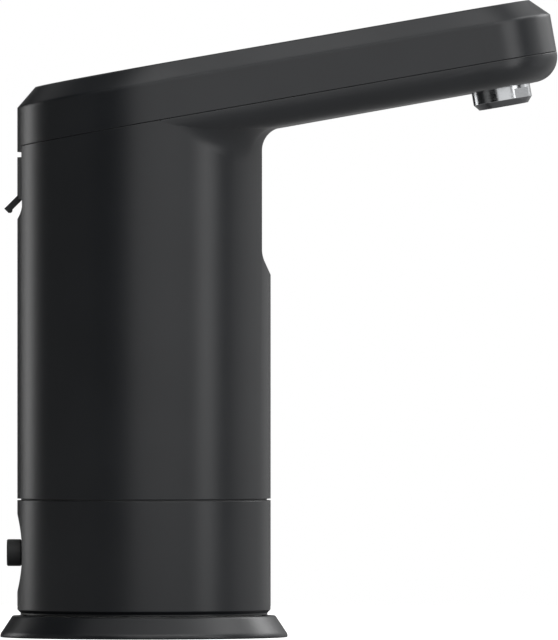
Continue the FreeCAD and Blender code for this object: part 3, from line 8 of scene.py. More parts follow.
import bmesh
import bpy
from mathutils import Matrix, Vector


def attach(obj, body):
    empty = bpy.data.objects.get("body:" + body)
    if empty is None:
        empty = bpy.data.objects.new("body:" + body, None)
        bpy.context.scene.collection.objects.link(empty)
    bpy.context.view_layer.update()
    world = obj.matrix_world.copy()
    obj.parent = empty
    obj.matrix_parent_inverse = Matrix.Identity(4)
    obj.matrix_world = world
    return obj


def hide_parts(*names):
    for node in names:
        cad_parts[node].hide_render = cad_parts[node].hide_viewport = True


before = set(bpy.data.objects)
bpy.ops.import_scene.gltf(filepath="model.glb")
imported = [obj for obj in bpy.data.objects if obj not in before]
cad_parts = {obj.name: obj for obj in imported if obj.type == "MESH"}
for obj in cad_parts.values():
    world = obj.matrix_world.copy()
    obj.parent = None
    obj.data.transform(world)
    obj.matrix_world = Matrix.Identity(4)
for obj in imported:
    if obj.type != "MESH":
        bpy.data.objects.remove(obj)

log = logging.getLogger("water_tap")

Colour = tuple[float, float, float, float]
# How far the tap's top slopes up towards the tip, and its height in millimetres at the column's axis.
TILT = math.radians(10)
TOP_RISE = 163.9
# The direction square to that slope.
SLOPE_NORMAL = (-math.sin(TILT), 0.0, math.cos(TILT))
# Most of a noise texture's values lie between these.
NOISE_LOW, NOISE_HIGH = 0.3, 0.7
# Halvings of a range that bring a search below any size that matters.
SEARCH_STEPS = 40


def mm(value: float) -> float:
    """Millimetres as metres, which is Blender's unit here."""
    return value / 1000


def linear(code: str) -> Colour:
    """Turns an sRGB hex colour to a linear one.

    Args:
        code: The colour as "#rrggbb".

    Returns:
        Red, green, blue and an alpha of 1.
    """
    parts = [int(code[start:start + 2], 16) / 255 for start in (1, 3, 5)]
    red, green, blue = (part / 12.92 if part <= 0.04045 else ((part + 0.055) / 1.055) ** 2.4 for part in parts)
    return red, green, blue, 1.0


def add_node(tree: bpy.types.NodeTree, kind: str, settings: dict | None = None,
             inputs: dict | None = None) -> bpy.types.Node:
    """Adds a node with its settings, values and links.

    Args:
        tree: The node tree it goes into.
        kind: The node's type, without "ShaderNode".
        settings: The node's own properties.
        inputs: A value, or another node's output, for each socket by name or number.

    Returns:
        The new node.
    """
    node = tree.nodes.new("ShaderNode" + kind)
    for name, value in (settings or {}).items():
        setattr(node, name, value)
    for key, value in (inputs or {}).items():
        if isinstance(value, bpy.types.NodeSocket):
            tree.links.new(value, node.inputs[key])
        else:
            node.inputs[key].default_value = value
    return node


class Gloss(Enum):
    """How a moulding tool's wall was finished, as the roughness that it leaves."""

    POLISHED = 0.1
    SATIN = 0.34
    ERODED = 0.55
    DULL = 0.72


@dataclass(frozen=True)
class Finish:
    """What every finish shares: a name and a material with one shader."""

    name: str

    def build(self) -> bpy.types.Material:
        """Makes the material, or finds it if it is there, and returns it."""
        material = bpy.data.materials.get(self.name)
        if material:
            return material
        material = bpy.data.materials.new(self.name)
        material.use_nodes = True
        tree = material.node_tree
        tree.nodes.clear()
        shader = add_node(tree, "BsdfPrincipled")
        output = add_node(tree, "OutputMaterial")
        tree.links.new(shader.outputs[0], output.inputs[0])
        place = add_node(tree, "TexCoord").outputs["Object"]
        self.paint(tree, shader, place)
        return material

    def paint(self, tree: bpy.types.NodeTree, shader: bpy.types.Node, place: bpy.types.NodeSocket) -> None:
        """Sets the shader's sockets. Each kind of finish has its own.

        Args:
            tree: The material's node tree.
            shader: Its one shader.
            place: The point on the object, in metres.
        """
        raise NotImplementedError

    @staticmethod
    def mottle(tree: bpy.types.NodeTree, factor: bpy.types.NodeSocket, low: float, high: float,
               first: Colour | bpy.types.NodeSocket, second: Colour) -> bpy.types.NodeSocket:
        """Lets one colour drift into another as a factor rises.

        Args:
            tree: The material's node tree.
            factor: The value that chooses the colour.
            low: Where the first colour ends.
            high: Where the second colour starts.
            first: The colour at and below low.
            second: The colour at and above high.

        Returns:
            The blended colour.
        """
        share = add_node(tree, "MapRange", {}, {"Value": factor, "From Min": low, "From Max": high})
        blend = add_node(tree, "Mix", {"data_type": "RGBA"}, {0: share.outputs[0], 6: first, 7: second})
        return blend.outputs[2]


@dataclass(frozen=True)
class MouldedPlastic(Finish):
    """Injection-moulded plastic with the fine pits of an eroded or polished tool."""

    colour: str = "#1e2023"
    shade: str = "#1a1c1f"
    gloss: Gloss = Gloss.SATIN
    ior: float = 1.5
    grain_mm: float = 0.3
    grain_depth_mm: float = 0.004
    edge_mm: float = 0.3
    drift_mm: float = 28.0
    drift_low: float = 0.35
    drift_high: float = 0.65
    gloss_spread: float = 0.03

    def edge(self, tree: bpy.types.NodeTree, place: bpy.types.NodeSocket) -> float | bpy.types.NodeSocket:
        """How round the moulding's edges look, in metres.

        Args:
            tree: The material's node tree.
            place: The point on the object, in metres.

        Returns:
            The radius, or a socket that carries it.
        """
        return mm(self.edge_mm)

    def mark(self, tree: bpy.types.NodeTree, place: bpy.types.NodeSocket,
             colour: bpy.types.NodeSocket) -> bpy.types.NodeSocket:
        """Adds what is printed or laid on the plastic. Plain mouldings have nothing.

        Args:
            tree: The material's node tree.
            place: The point on the object, in metres.
            colour: The plastic's own colour.

        Returns:
            The colour to show.
        """
        return colour

    def paint(self, tree: bpy.types.NodeTree, shader: bpy.types.Node, place: bpy.types.NodeSocket) -> None:
        """Gives slow drifts of colour and gloss and a fine pitted grain."""
        drift = add_node(tree, "TexNoise", {}, {"Vector": place, "Scale": 1 / mm(self.drift_mm), "Detail": 3.0})
        grain = add_node(tree, "TexNoise", {}, {"Vector": place, "Scale": 1 / mm(self.grain_mm), "Detail": 2.0})
        colour = self.mottle(tree, drift.outputs[0], self.drift_low, self.drift_high,
                             linear(self.shade), linear(self.colour))
        tree.links.new(self.mark(tree, place, colour), shader.inputs["Base Color"])
        rough = add_node(tree, "MapRange", {}, {
            "Value": grain.outputs[0], "From Min": NOISE_LOW, "From Max": NOISE_HIGH,
            "To Min": self.gloss.value - self.gloss_spread, "To Max": self.gloss.value + self.gloss_spread})
        tree.links.new(rough.outputs[0], shader.inputs["Roughness"])
        edge = add_node(tree, "Bevel", {"samples": 8}, {"Radius": self.edge(tree, place)})
        bump = add_node(tree, "Bump", {}, {
            "Height": grain.outputs[0], "Distance": mm(self.grain_depth_mm), "Strength": 1.0,
            "Normal": edge.outputs[0]})
        tree.links.new(bump.outputs[0], shader.inputs["Normal"])
        shader.inputs["IOR"].default_value = self.ior


@dataclass(frozen=True)
class CoverPlastic(MouldedPlastic):
    """The cover's plastic: its bevel's edges look broadly rounded and its seam's look crisp."""

    rim_mm: float = 1.4
    rim_depth_mm: float = 11.0
    rim_fade_mm: float = 1.0

    def edge(self, tree: bpy.types.NodeTree, place: bpy.types.NodeSocket) -> float | bpy.types.NodeSocket:
        """Gives broad edges near the sloping top and crisp ones below it."""
        rise = add_node(tree, "VectorMath", {"operation": "DOT_PRODUCT"}, {0: place, 1: SLOPE_NORMAL})
        top = mm(TOP_RISE) * math.cos(TILT)
        radius = add_node(tree, "MapRange", {}, {
            "Value": rise.outputs["Value"], "From Min": top - mm(self.rim_depth_mm + self.rim_fade_mm),
            "From Max": top - mm(self.rim_depth_mm), "To Min": mm(self.edge_mm), "To Max": mm(self.rim_mm)})
        return radius.outputs[0]


@dataclass(frozen=True)
class TouchAcrylic(MouldedPlastic):
    """Acrylic with a plain ring printed under it, where a finger goes."""

    ring_colour: str = "#8d9093"
    centre_mm: tuple[float, float, float] = (11.82, 0.0, 165.98)
    ring_mm: float = 6.0
    line_mm: float = 0.35

    def mark(self, tree: bpy.types.NodeTree, place: bpy.types.NodeSocket,
             colour: bpy.types.NodeSocket) -> bpy.types.NodeSocket:
        """Draws the ring round the panel's centre."""
        centre = tuple(mm(value) for value in self.centre_mm)
        away = add_node(tree, "VectorMath", {"operation": "DISTANCE"}, {0: place, 1: centre})
        off = add_node(tree, "Math", {"operation": "SUBTRACT"}, {
            0: away.outputs["Value"], 1: mm(self.ring_mm)})
        gap = add_node(tree, "Math", {"operation": "ABSOLUTE"}, {0: off.outputs[0]})
        inside = add_node(tree, "Math", {"operation": "LESS_THAN"}, {0: gap.outputs[0], 1: mm(self.line_mm)})
        return self.mottle(tree, inside.outputs[0], 0.0, 1.0, colour, linear(self.ring_colour))


@dataclass(frozen=True)
class CircuitLaminate(MouldedPlastic):
    """Glass laminate with copper tracks that show through its solder mask."""

    track_colour: str = "#2f7a4c"
    track_mm: float = 0.25
    length_mm: float = 4.0
    pitch_mm: float = 0.9

    def mark(self, tree: bpy.types.NodeTree, place: bpy.types.NodeSocket,
             colour: bpy.types.NodeSocket) -> bpy.types.NodeSocket:
        """Lays a network of tracks over the board."""
        tracks = add_node(tree, "TexBrick", {}, {
            "Vector": place, "Scale": 1.0, "Mortar Size": mm(self.track_mm), "Mortar Smooth": 0.2,
            "Brick Width": mm(self.length_mm), "Row Height": mm(self.pitch_mm)})
        return self.mottle(tree, tracks.outputs["Fac"], 0.0, 1.0, colour, linear(self.track_colour))


@dataclass(frozen=True)
class Elastomer(Finish):
    """Moulded rubber: dull, with a bloom of fine dust and a soft edge to its highlights."""

    colour: str = "#242526"
    bloom: str = "#2d2e2f"
    gloss: Gloss = Gloss.DULL
    ior: float = 1.52
    sheen: float = 0.05
    cloud_mm: float = 6.0
    cloud_low: float = 0.4
    cloud_high: float = 0.7
    grain_mm: float = 0.4
    grain_depth_mm: float = 0.01

    def paint(self, tree: bpy.types.NodeTree, shader: bpy.types.Node, place: bpy.types.NodeSocket) -> None:
        """Gives a cloudy bloom and the grain of a blasted mould."""
        cloud = add_node(tree, "TexNoise", {}, {"Vector": place, "Scale": 1 / mm(self.cloud_mm), "Detail": 4.0})
        colour = self.mottle(tree, cloud.outputs[0], self.cloud_low, self.cloud_high,
                             linear(self.colour), linear(self.bloom))
        tree.links.new(colour, shader.inputs["Base Color"])
        grain = add_node(tree, "TexNoise", {}, {"Vector": place, "Scale": 1 / mm(self.grain_mm), "Detail": 2.0})
        bump = add_node(tree, "Bump", {}, {
            "Height": grain.outputs[0], "Distance": mm(self.grain_depth_mm), "Strength": 1.0})
        tree.links.new(bump.outputs[0], shader.inputs["Normal"])
        shader.inputs["Roughness"].default_value = self.gloss.value
        shader.inputs["IOR"].default_value = self.ior
        shader.inputs["Sheen Weight"].default_value = self.sheen


@dataclass(frozen=True)
class PlatedMetal(Finish):
    """A plated or polished metal, with hair-fine marks along its turning or rolling."""

    colour: str = "#c9cacb"
    roughness: float = 0.1
    mark_mm: float = 0.2
    mark_depth_mm: float = 0.0015
    mark_stretch: tuple[float, float, float] = (0.15, 0.15, 1.0)
    smoothest: float = 0.8
    roughest: float = 1.25

    def paint(self, tree: bpy.types.NodeTree, shader: bpy.types.Node, place: bpy.types.NodeSocket) -> None:
        """Gives the metal its colour, its fine marks and uneven gloss."""
        stretch = add_node(tree, "Mapping", {}, {"Vector": place, "Scale": self.mark_stretch})
        marks = add_node(tree, "TexNoise", {}, {
            "Vector": stretch.outputs[0], "Scale": 1 / mm(self.mark_mm), "Detail": 3.0})
        rough = add_node(tree, "MapRange", {}, {
            "Value": marks.outputs[0], "From Min": NOISE_LOW, "From Max": NOISE_HIGH,
            "To Min": self.roughness * self.smoothest, "To Max": self.roughness * self.roughest})
        tree.links.new(rough.outputs[0], shader.inputs["Roughness"])
        bump = add_node(tree, "Bump", {}, {
            "Height": marks.outputs[0], "Distance": mm(self.mark_depth_mm), "Strength": 1.0})
        tree.links.new(bump.outputs[0], shader.inputs["Normal"])
        shader.inputs["Base Color"].default_value = linear(self.colour)
        shader.inputs["Metallic"].default_value = 1.0


@dataclass(frozen=True)
class SleeveSteel(PlatedMetal):
    """The nozzle's polished steel, with painted shade darkening the slanted rim below its barrel."""

    # Painted shade: the slanted rim's darker colour stands in for the shade on its downward face.
    rim_shade_colour: str = "#6b6c6e"
    rim_level_mm: float = 134.2
    blur_mm: float = 0.1

    def paint(self, tree: bpy.types.NodeTree, shader: bpy.types.Node, place: bpy.types.NodeSocket) -> None:
        """Gives the polished barrel's look and darkens the rim with painted shade."""
        super().paint(tree, shader, place)
        rise = add_node(tree, "VectorMath", {"operation": "DOT_PRODUCT"}, {0: place, 1: SLOPE_NORMAL})
        level = mm(self.rim_level_mm)
        # Painted shade: below this level the rim takes the darker colour.
        colour = self.mottle(tree, rise.outputs["Value"], level - mm(self.blur_mm), level,
                             linear(self.rim_shade_colour), linear(self.colour))
        tree.links.new(colour, shader.inputs["Base Color"])


# What the tap is made of

# Satin black ABS from a lightly eroded tool: soft, broad highlights with no visible grain from a step away.
SATIN_ABS = MouldedPlastic("satin_black_abs")
# The same ABS on the cover, with a softer look along its bevel.
COVER_ABS = CoverPlastic("cover_black_abs")
# The disc is the same ABS with a broader rounding, so a light line runs round its foot.
DISC_ABS = MouldedPlastic("disc_black_abs", edge_mm=1.0)
# Natural polypropylene inside the shell: milky and a little waxy.
NATURAL_POLYPROPYLENE = MouldedPlastic("natural_polypropylene", "#d8dad6", "#cfd1cc", Gloss.ERODED, 1.49)
# Black nylon of the hose spigot, smooth where the hose seals.
BLACK_NYLON = MouldedPlastic("black_nylon", "#2a2b2c", "#252627", Gloss.ERODED, 1.53)
# Low-friction acetal of the slide ring. The ring is real, but its grey is lightened as painted light so the
# shaded waist line stays soft.
LIGHTENED_ACETAL = MouldedPlastic("lightened_acetal", "#5a5b5d", "#545557", Gloss.ERODED, 1.48)
# White acetal of the aerator's insert.
WHITE_ACETAL = MouldedPlastic("white_acetal", "#dfe0dc", "#d6d7d3", Gloss.ERODED, 1.48)
# Gloss black acrylic of the touch panel, with a grey ring printed under it.
GLOSS_ACRYLIC = TouchAcrylic("gloss_black_acrylic", "#141416", "#121214", Gloss.POLISHED, 1.49, 0.5, 0.0005)
# Phenolic and epoxy bodies of the parts on the boards.
EPOXY = MouldedPlastic("black_epoxy", "#1d1d1e", "#222223", Gloss.DULL, 1.55)
# Glass laminate under green solder mask, with paler tracks.
LAMINATE = CircuitLaminate("glass_laminate", "#14532f", "#0f4a29", Gloss.SATIN, 1.55)
# Blue shrink sleeve round the cells.
SHRINK_SLEEVE = MouldedPlastic("blue_shrink_sleeve", "#2b5d93", "#27568a", Gloss.SATIN, 1.53)
# Silicone rubber of the charging flap.
FLAP_SILICONE = Elastomer("flap_silicone")
# Black nitrile of the foot ring, seals, grommets and washer.
BLACK_NITRILE = Elastomer("black_nitrile", "#1d1e1f", "#262728")
# Milky silicone hose.
CLEAR_SILICONE = Elastomer("milky_silicone", "#c9cccb", "#d6d8d6", Gloss.ERODED)
# Closed-cell foam tape under the disc.
FOAM_TAPE = Elastomer("acrylic_foam_tape", "#3a3b3c", "#424344")
# Red lead insulation.
LEAD_INSULATION = Elastomer("lead_insulation", "#9c2a22", "#a5332a", Gloss.ERODED)
# Polished stainless steel of the nozzle: clear reflections with softened borders, and painted shade on its
# slanted lower rim.
POLISHED_STEEL = SleeveSteel("polished_stainless", "#c4c6c8", 0.2)
# Zinc plating on the screws, the clip and the keeper plate.
ZINC = PlatedMetal("zinc_plated_steel", "#b9b9b4", 0.28, 0.3, 0.003)
# Nickel plating of magnets, tabs and the port's shell.
NICKEL = PlatedMetal("nickel_plating", "#c3beb2", 0.2)
# Stainless steel wire of the aerator's mesh.
STAINLESS = PlatedMetal("stainless_wire", "#b4b5b6", 0.25, 0.15)
# The motor's bright drawn can.
DRAWN_CAN = PlatedMetal("drawn_motor_can", "#c2c3c1", 0.22, 0.25, 0.003)


def dress(finish: Finish, *nodes: str) -> None:
    """Gives CAD nodes a finish.

    Args:
        finish: The finish they get.
        nodes: The nodes' names.
    """
    material = finish.build()
    for name in nodes:
        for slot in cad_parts[name].material_slots:
            slot.material = material
        log.info("%s is %s", name, finish.name)


def placed(name: str, mesh: bpy.types.Mesh, finish: Finish, body: str) -> bpy.types.Object:
    """Puts a mesh into the scene as a piece of the tap.

    Args:
        name: The piece's name.
        mesh: Its mesh, in metres in the tap's frame.
        finish: What it is made of.
        body: The body it moves with.

    Returns:
        The piece.
    """
    item = bpy.data.objects.new(name, mesh)
    bpy.context.scene.collection.objects.link(item)
    mesh.materials.append(finish.build())
    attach(item, body)
    log.info("%s rides on %s", name, body)
    return item


@dataclass
class Shell:
    """The mouldings that are seen: disc, base, column with spout, cover and panel."""

    def dress(self) -> None:
        """Gives the shell its finishes."""
        dress(SATIN_ABS, "base_housing", "main_housing")
        dress(COVER_ABS, "top_cover")
        dress(DISC_ABS, "mounting_disc")
        dress(GLOSS_ACRYLIC, "touch_panel")
        dress(BLACK_NYLON, "inlet_spigot")
        # The slide ring's lighter grey is painted light that lifts the shade in the waist gap.
        dress(LIGHTENED_ACETAL, "slide_ring")
        dress(FLAP_SILICONE, "port_flap", "flap_anchor")
        dress(FOAM_TAPE, "adhesive_pad")
        dress(BLACK_NITRILE, "foot_ring", "swivel_seals", "pump_grommets", "nozzle_washer")


@dataclass
class Fairing:
    """The hollow rounding between the column and the spout, as a ball rolled along both would leave it.

    Sizes are in millimetres, in the tap's frame or along its slope.
    """

    column_radius: float = 36.5
    flat_face: float = 34.0
    spout_reach: float = 117.9
    tip_radius: float = 23.6
    spout_depth: float = 23.6
    edge_round: float = 7.3
    ball: float = 6.5
    side_ball: float = 11.0
    growth_start: float = 0.2
    growth_length: float = 0.3
    sink: float = 0.02
    root: float = 0.4
    stations: int = 96
    steps: int = 14

    def __post_init__(self) -> None:
        """Works out which way the spout's side faces."""
        rear = -self.spout_depth * math.tan(TILT)
        middle = self.spout_reach - self.tip_radius
        long = self.column_radius / math.cos(TILT)
        lean = 0.1
        for _ in range(SEARCH_STEPS):
            reach = math.hypot(long * lean, self.column_radius * math.sqrt(1 - lean * lean))
            lean = (reach - self.tip_radius) / (middle - rear)
        self.side_way = (lean, math.sqrt(1 - lean * lean))
        self.side_reach = self.tip_radius + lean * middle

    def along_slope(self, place: Vector) -> Vector:
        """A point's distance along the slope, across it and below it."""
        rise = place.z - TOP_RISE
        cosine, sine = math.cos(TILT), math.sin(TILT)
        return Vector((place.x * cosine + rise * sine, place.y, place.x * sine - rise * cosine))

    def from_slope(self, place: Vector) -> Vector:
        """The point in the tap's frame of one given along the slope."""
        cosine, sine = math.cos(TILT), math.sin(TILT)
        return Vector((place.x * cosine + place.z * sine, place.y,
                       TOP_RISE + place.x * sine - place.z * cosine))

    def touch(self, place: Vector) -> tuple[float, Vector]:
        """How far a point is from the spout's rounded foot.

        Args:
            place: A point under or beside the spout, in the tap's frame.

        Returns:
            The distance, and the nearest point on the spout.
        """
        local = self.along_slope(place)
        way_u, way_y = self.side_way
        inside = self.side_reach - way_u * local.x - way_y * local.y
        over = self.edge_round - inside
        drop = local.z - (self.spout_depth - self.edge_round)
        if over <= 0:
            near = Vector((local.x, local.y, self.spout_depth))
            return local.z - self.spout_depth, self.from_slope(near)
        length = math.hypot(over, drop)
        share = (length - self.edge_round) / length
        near = local - Vector((way_u * over, way_y * over, drop)) * share
        return length - self.edge_round, self.from_slope(near)

    def ball_at(self, share: float) -> float:
        """The ball's radius, which grows from the column's front to its side."""
        blend = min(max((share - self.growth_start) / self.growth_length, 0), 1)
        return self.ball + (self.side_ball - self.ball) * blend * blend * (3 - 2 * blend)

    def plan(self, share: float, ball: float) -> tuple[Vector, Vector]:
        """The ball's place and its touch with the column, seen from above.

        Args:
            share: 0 at the middle of the column's front, 1 where the spout's side leaves the column.
            ball: The ball's radius there.

        Returns:
            The ball's centre and the nearest point of the column, both at height nought.
        """
        corner = math.atan2(math.sqrt(self.column_radius ** 2 - self.flat_face ** 2), self.flat_face)
        last = math.atan2(self.side_way[1], self.side_way[0])
        half = self.flat_face * math.tan(corner)
        lengths = (half, self.ball * corner, (self.column_radius + self.ball) * (last - corner))
        run = share * sum(lengths)
        if run < lengths[0]:
            on_face = Vector((self.flat_face, run, 0))
            return on_face + Vector((ball, 0, 0)), on_face
        run -= lengths[0]
        if run < lengths[1]:
            on_corner = Vector((self.flat_face, half, 0))
            turn = run / self.ball
            return on_corner + Vector((math.cos(turn), math.sin(turn), 0)) * ball, on_corner
        turn = corner + (run - lengths[1]) / (self.column_radius + self.ball)
        way = Vector((math.cos(turn), math.sin(turn), 0))
        return way * (self.column_radius + ball), way * self.column_radius

    def section(self, share: float, hand: int) -> tuple[list[Vector], list[Vector]]:
        """One section of the rounding, with its last point inside the wall.

        Args:
            share: Where along the rounding, as in plan.
            hand: 1 or -1 for either side of the tap.

        Returns:
            The section's points from the column to the spout and then inside the wall, and the surface's
            direction at each.
        """
        ball = self.ball_at(share)
        centre, on_column = self.plan(share, ball)
        depth = self.spout_depth - self.edge_round
        high = TOP_RISE + (centre.x * math.sin(TILT) - depth) / math.cos(TILT)
        low = high - 2 * self.spout_depth
        for _ in range(SEARCH_STEPS):
            level = (low + high) / 2
            distance, _ = self.touch(Vector((centre.x, centre.y, level)))
            low, high = (level, high) if distance > ball else (low, level)
        centre.z = on_column.z = low
        _, on_spout = self.touch(centre)
        first, last = (on_column - centre).normalized(), (on_spout - centre).normalized()
        shares = [(step / self.steps, ball) for step in range(self.steps + 1)]
        shares[0] = (0.0, ball + self.sink)
        shares[-1] = (1.0, ball + self.sink)
        shares.append((0.5, ball / math.cos(first.angle(last) / 2) + self.root))
        points, ways = [], []
        for part, radius in shares:
            way = (first * (1 - part) + last * part).normalized()
            point = centre + way * radius
            points.append(Vector((mm(point.x), mm(point.y) * hand, mm(point.z))))
            ways.append(Vector((-way.x, -way.y * hand, -way.z)))
        return points, ways

    def build(self) -> bpy.types.Object:
        """Makes the rounding as one closed piece and returns it."""
        points, ways, rings = [], [], []
        for number in range(-self.stations, self.stations + 1):
            row, normals = self.section(abs(number) / self.stations, 1 if number >= 0 else -1)
            rings.append(list(range(len(points), len(points) + len(row))))
            points += row
            ways += normals
        faces = []
        for first, second in zip(rings, rings[1:]):
            count = len(first)
            for k in range(count):
                other = (k + 1) % count
                faces.append((first[k], second[k], second[other], first[other]))
        faces += [tuple(rings[0]), tuple(reversed(rings[-1]))]
        mesh = bpy.data.meshes.new("junction_fairing")
        mesh.from_pydata(points, [], faces)
        mesh.validate()
        mesh.shade_smooth()
        mesh.normals_split_custom_set_from_vertices(ways)
        return placed("junction_fairing", mesh, SATIN_ABS, "head")


@dataclass
class Inside:
    """What the shell holds."""

    def dress(self) -> None:
        """Gives the inner pieces their finishes."""
        dress(NATURAL_POLYPROPYLENE, "base_cover", "head_floor", "swivel_cap", "swivel_stem", "battery_holder",
              "pump_stand", "pump_head", "outlet_fitting")
        screws = [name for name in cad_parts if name.endswith("_screws")]
        dress(ZINC, "keeper_plate", "swivel_clip", *screws)
        dress(NICKEL, "base_magnets", "battery_tabs", "charging_port")
        dress(SHRINK_SLEEVE, "battery_cells")
        dress(DRAWN_CAN, "pump_motor")
        dress(LAMINATE, "port_board", "touch_board", "control_board")
        dress(EPOXY, "board_components")
        dress(CLEAR_SILICONE, "base_hose", "suction_hose", "discharge_hose")
        dress(LEAD_INSULATION, "battery_leads", "motor_leads", "port_leads", "touch_leads")


@dataclass
class WovenMesh:
    """The aerator's round of woven wire, in a rim of its own.

    Sizes are in millimetres. The round lies square to the nozzle's axis.
    """

    centre: tuple[float, float, float] = (101.74, 0.0, 163.66)
    radius: float = 7.2
    pitch: float = 0.8
    lift: float = 0.1
    wire: float = 0.09
    rim: float = 0.19
    steps_to_wire: int = 4
    sides: int = 6
    rim_steps: int = 64

    def place(self, along: float, across: float, up: float) -> Vector:
        """A point of the round in the tap's frame, in metres."""
        cosine, sine = math.cos(TILT), math.sin(TILT)
        offset = Vector((along * cosine - up * sine, across, along * sine + up * cosine))
        return (Vector(self.centre) + offset) / 1000

    def strand(self, shape: bmesh.types.BMesh, points: list[Vector], radius: float, closed: bool) -> None:
        """Adds one wire along points.

        Args:
            shape: The mesh being built.
            points: The wire's middle line.
            radius: The wire's radius.
            closed: Whether the last point joins the first.
        """
        rings = []
        for number, point in enumerate(points):
            before = points[number - 1] if number or closed else point
            after = points[(number + 1) % len(points)] if number + 1 < len(points) or closed else point
            way = (after - before).to_track_quat("Z", "Y")
            turns = [2 * math.pi * side / self.sides for side in range(self.sides)]
            ring = [point + way @ Vector((math.cos(turn), math.sin(turn), 0)) * mm(radius) for turn in turns]
            rings.append([shape.verts.new(corner) for corner in ring])
        pairs = list(zip(rings, rings[1:])) + ([(rings[-1], rings[0])] if closed else [])
        for first, second in pairs:
            for side in range(self.sides):
                other = (side + 1) % self.sides
                shape.faces.new((first[side], first[other], second[other], second[side]))
        if not closed:
            shape.faces.new(list(reversed(rings[0])))
            shape.faces.new(rings[-1])

    def build(self) -> bpy.types.Object:
        """Weaves the round and returns it."""
        shape = bmesh.new()
        count = int((self.radius - self.rim) / self.pitch)
        for number in range(-count, count + 1):
            shift = number * self.pitch
            half = math.sqrt((self.radius - self.rim) ** 2 - shift ** 2)
            steps = max(2, round(2 * half / self.pitch * self.steps_to_wire))
            for hand in (1, -1):
                line = []
                for step in range(steps + 1):
                    run = -half + 2 * half * step / steps
                    phase = math.pi * (run / self.pitch + number + (hand - 1) / 2)
                    up = self.lift * math.cos(phase)
                    line.append(self.place(run, shift, up) if hand > 0 else self.place(shift, run, up))
                self.strand(shape, line, self.wire, False)
        turns = [2 * math.pi * step / self.rim_steps for step in range(self.rim_steps)]
        edge = self.radius - self.rim
        rim = [self.place(edge * math.cos(turn), edge * math.sin(turn), 0) for turn in turns]
        self.strand(shape, rim, self.rim, True)
        mesh = bpy.data.meshes.new("woven_mesh")
        shape.to_mesh(mesh)
        shape.free()
        mesh.shade_smooth()
        piece = placed("woven_mesh", mesh, STAINLESS, "aerator")
        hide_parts("aerator_mesh")
        return piece


@dataclass
class Nozzle:
    """The nozzle's sleeve and what it holds."""

    def dress(self) -> None:
        """Gives the nozzle its finishes."""
        dress(POLISHED_STEEL, "nozzle_sleeve")
        dress(WHITE_ACETAL, "aerator_insert")


@dataclass(frozen=True)
class Softbox:
    """One area lamp that faces the tap.

    Angles are in degrees: azimuth 0 is towards the camera and 90 towards the spout's tip, elevation is
    above the horizon. Sizes and the distance from the tap's middle are in metres, the power is in watts.
    """

    name: str
    azimuth: float
    elevation: float
    width: float
    height: float
    power: float
    distance: float = 1.0

    def hang(self, middle: Vector) -> None:
        """Hangs the lamp.

        Args:
            middle: The point it faces.
        """
        data = bpy.data.lights.new(self.name, "AREA")
        data.shape = "RECTANGLE"
        data.size, data.size_y, data.energy = self.width, self.height, self.power
        item = bpy.data.objects.new(self.name, data)
        bpy.context.scene.collection.objects.link(item)
        turn, rise = math.radians(self.azimuth), math.radians(self.elevation)
        away = Vector((math.sin(turn) * math.cos(rise), -math.cos(turn) * math.cos(rise), math.sin(rise)))
        item.location = middle + away * self.distance
        item.rotation_euler = away.to_track_quat("Z", "Y").to_euler()


SOFTBOXES = (
    # A narrow strip behind the left edge draws the bright rim down the column's back.
    Softbox("rear_strip", -127, 3, 0.3, 0.6, 1.15),
    # A wide box beside the camera fills the flat side with even grey.
    Softbox("front_box", 13, 6, 1.0, 0.8, 2.65),
    # A bright strip gives the stripe down the column's front corner.
    Softbox("stripe_box", 57, 6, 0.32, 0.8, 2.3),
    # Two boxes beyond the tip light the column's front and the spout's nose.
    Softbox("tip_box", 105, 6, 0.7, 0.8, 1.25),
    Softbox("far_box", 143, 6, 0.6, 0.8, 0.8),
    # Two small boxes above those reach the nose's upper wall, which leans back.
    Softbox("nose_box", 118, 20, 0.3, 0.25, 0.45),
    Softbox("nose_rear", 138, 18, 0.3, 0.25, 0.25),
    # High boxes in front light the bevel and the disc's slope.
    Softbox("high_front", 13, 45, 1.0, 0.35, 2.85),
    Softbox("high_right", 60, 45, 0.6, 0.4, 1.3),
    # A high box over the tip brightens the nose's upper edge.
    Softbox("high_box", 110, 50, 0.6, 0.4, 2.15),
    # The boxes overhead and high behind give the bevel its light band.
    Softbox("top_box", 0, 89, 0.6, 0.6, 1.75),
    Softbox("back_top", 175, 45, 0.8, 0.4, 0.65),
    # Weak boxes keep the column's shaded half from going black.
    Softbox("shade_box", -70, 6, 0.9, 0.8, 0.35),
    Softbox("high_left", -45, 45, 0.6, 0.4, 0.55),
    # A weak box behind lights the back.
    Softbox("rear_box", 180, 6, 0.6, 0.8, 0.5),
    # Two small boxes high behind reach the disc's slope and the bevel at the rear.
    Softbox("back_right", 137, 30, 0.35, 0.3, 1.35),
    Softbox("back_left", -150, 35, 0.5, 0.3, 0.1),
)


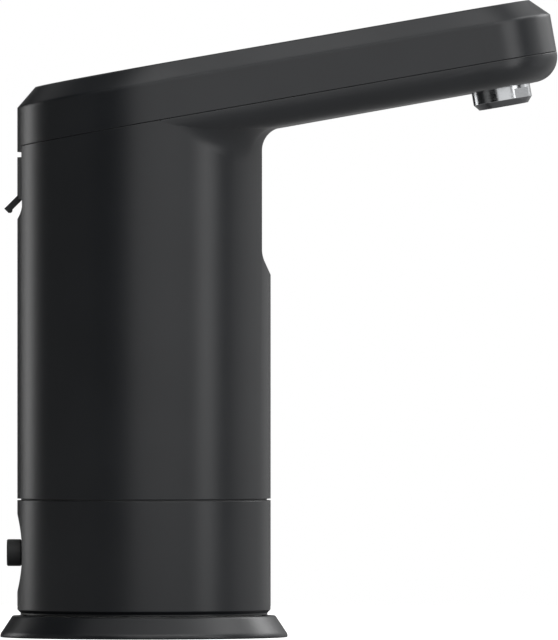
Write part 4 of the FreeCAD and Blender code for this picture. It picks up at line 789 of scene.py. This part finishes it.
@dataclass
class Studio:
    """Floor, lamps, world and camera."""

    frame_width: float = 0.16075
    frame_height: float = 0.18437
    centre_x: float = 0.03889
    centre_z: float = 0.0913
    lens: float = 900.0
    floor_half: float = 0.5
    floor_grey: str = "#b6b6b6"
    floor_white: str = "#f4f4f4"
    floor_glow: float = 0.8
    floor_gap_mm: float = 0.02
    clip_share: float = 4.0

    def build(self) -> None:
        """Puts up the studio."""
        bpy.context.scene.view_settings.view_transform = "Standard"
        self.floor()
        self.world()
        for softbox in SOFTBOXES:
            softbox.hang(Vector((self.centre_x, 0, self.centre_z)))
        self.camera()

    def floor(self) -> None:
        """Lays a pale floor that shows as white and keeps the tap's shadow."""
        mesh = bpy.data.meshes.new("floor")
        half = self.floor_half
        corners = [(-half, -half, 0), (half, -half, 0), (half, half, 0), (-half, half, 0)]
        mesh.from_pydata(corners, [], [(0, 1, 2, 3)])
        item = bpy.data.objects.new("floor", mesh)
        bpy.context.scene.collection.objects.link(item)
        item.location.z = -mm(self.floor_gap_mm)
        material = bpy.data.materials.new("matt_white_paper")
        material.use_nodes = True
        tree = material.node_tree
        tree.nodes.clear()
        path = add_node(tree, "LightPath")
        colour = add_node(tree, "Mix", {"data_type": "RGBA"}, {
            0: path.outputs["Is Camera Ray"], 6: linear(self.floor_grey), 7: linear(self.floor_white)})
        paper = add_node(tree, "BsdfDiffuse", {}, {"Color": colour.outputs[2]})
        lift = add_node(tree, "Math", {"operation": "MULTIPLY"}, {
            0: path.outputs["Is Camera Ray"], 1: self.floor_glow})
        glow = add_node(tree, "Emission", {}, {"Strength": lift.outputs[0]})
        both = add_node(tree, "AddShader", {}, {0: paper.outputs[0], 1: glow.outputs[0]})
        add_node(tree, "OutputMaterial", {}, {0: both.outputs[0]})
        mesh.materials.append(material)

    def world(self) -> None:
        """Makes the surroundings white to the camera and dark as light, which the softboxes give."""
        world = bpy.data.worlds.new("studio")
        bpy.context.scene.world = world
        world.use_nodes = True
        tree = world.node_tree
        tree.nodes.clear()
        path = add_node(tree, "LightPath")
        seen = add_node(tree, "Math", {"operation": "MAXIMUM"}, {
            0: path.outputs["Is Camera Ray"], 1: path.outputs["Is Transmission Ray"]})
        sky = add_node(tree, "Background", {}, {"Color": linear("#ffffff"), "Strength": seen.outputs[0]})
        add_node(tree, "OutputWorld", {}, {0: sky.outputs[0]})

    def camera(self) -> None:
        """Stands the camera square to the tap's side, far off with a long lens."""
        data = bpy.data.cameras.new("camera")
        data.lens = self.lens
        distance = self.frame_height * data.lens / data.sensor_width
        data.clip_end = distance * self.clip_share
        item = bpy.data.objects.new("camera", data)
        bpy.context.scene.collection.objects.link(item)
        item.location = (self.centre_x, -distance, self.centre_z)
        item.rotation_euler = (math.radians(90), 0, 0)
        bpy.context.scene.camera = item


def main() -> None:
    """Builds the dressed tap and its studio, in order."""
    logging.basicConfig(level=logging.INFO, format="%(message)s")
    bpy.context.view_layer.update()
    for part in (Shell(), Inside(), Nozzle()):
        part.dress()
    Fairing().build()
    WovenMesh().build()
    Studio().build()


if __name__ == "__main__":
    main()
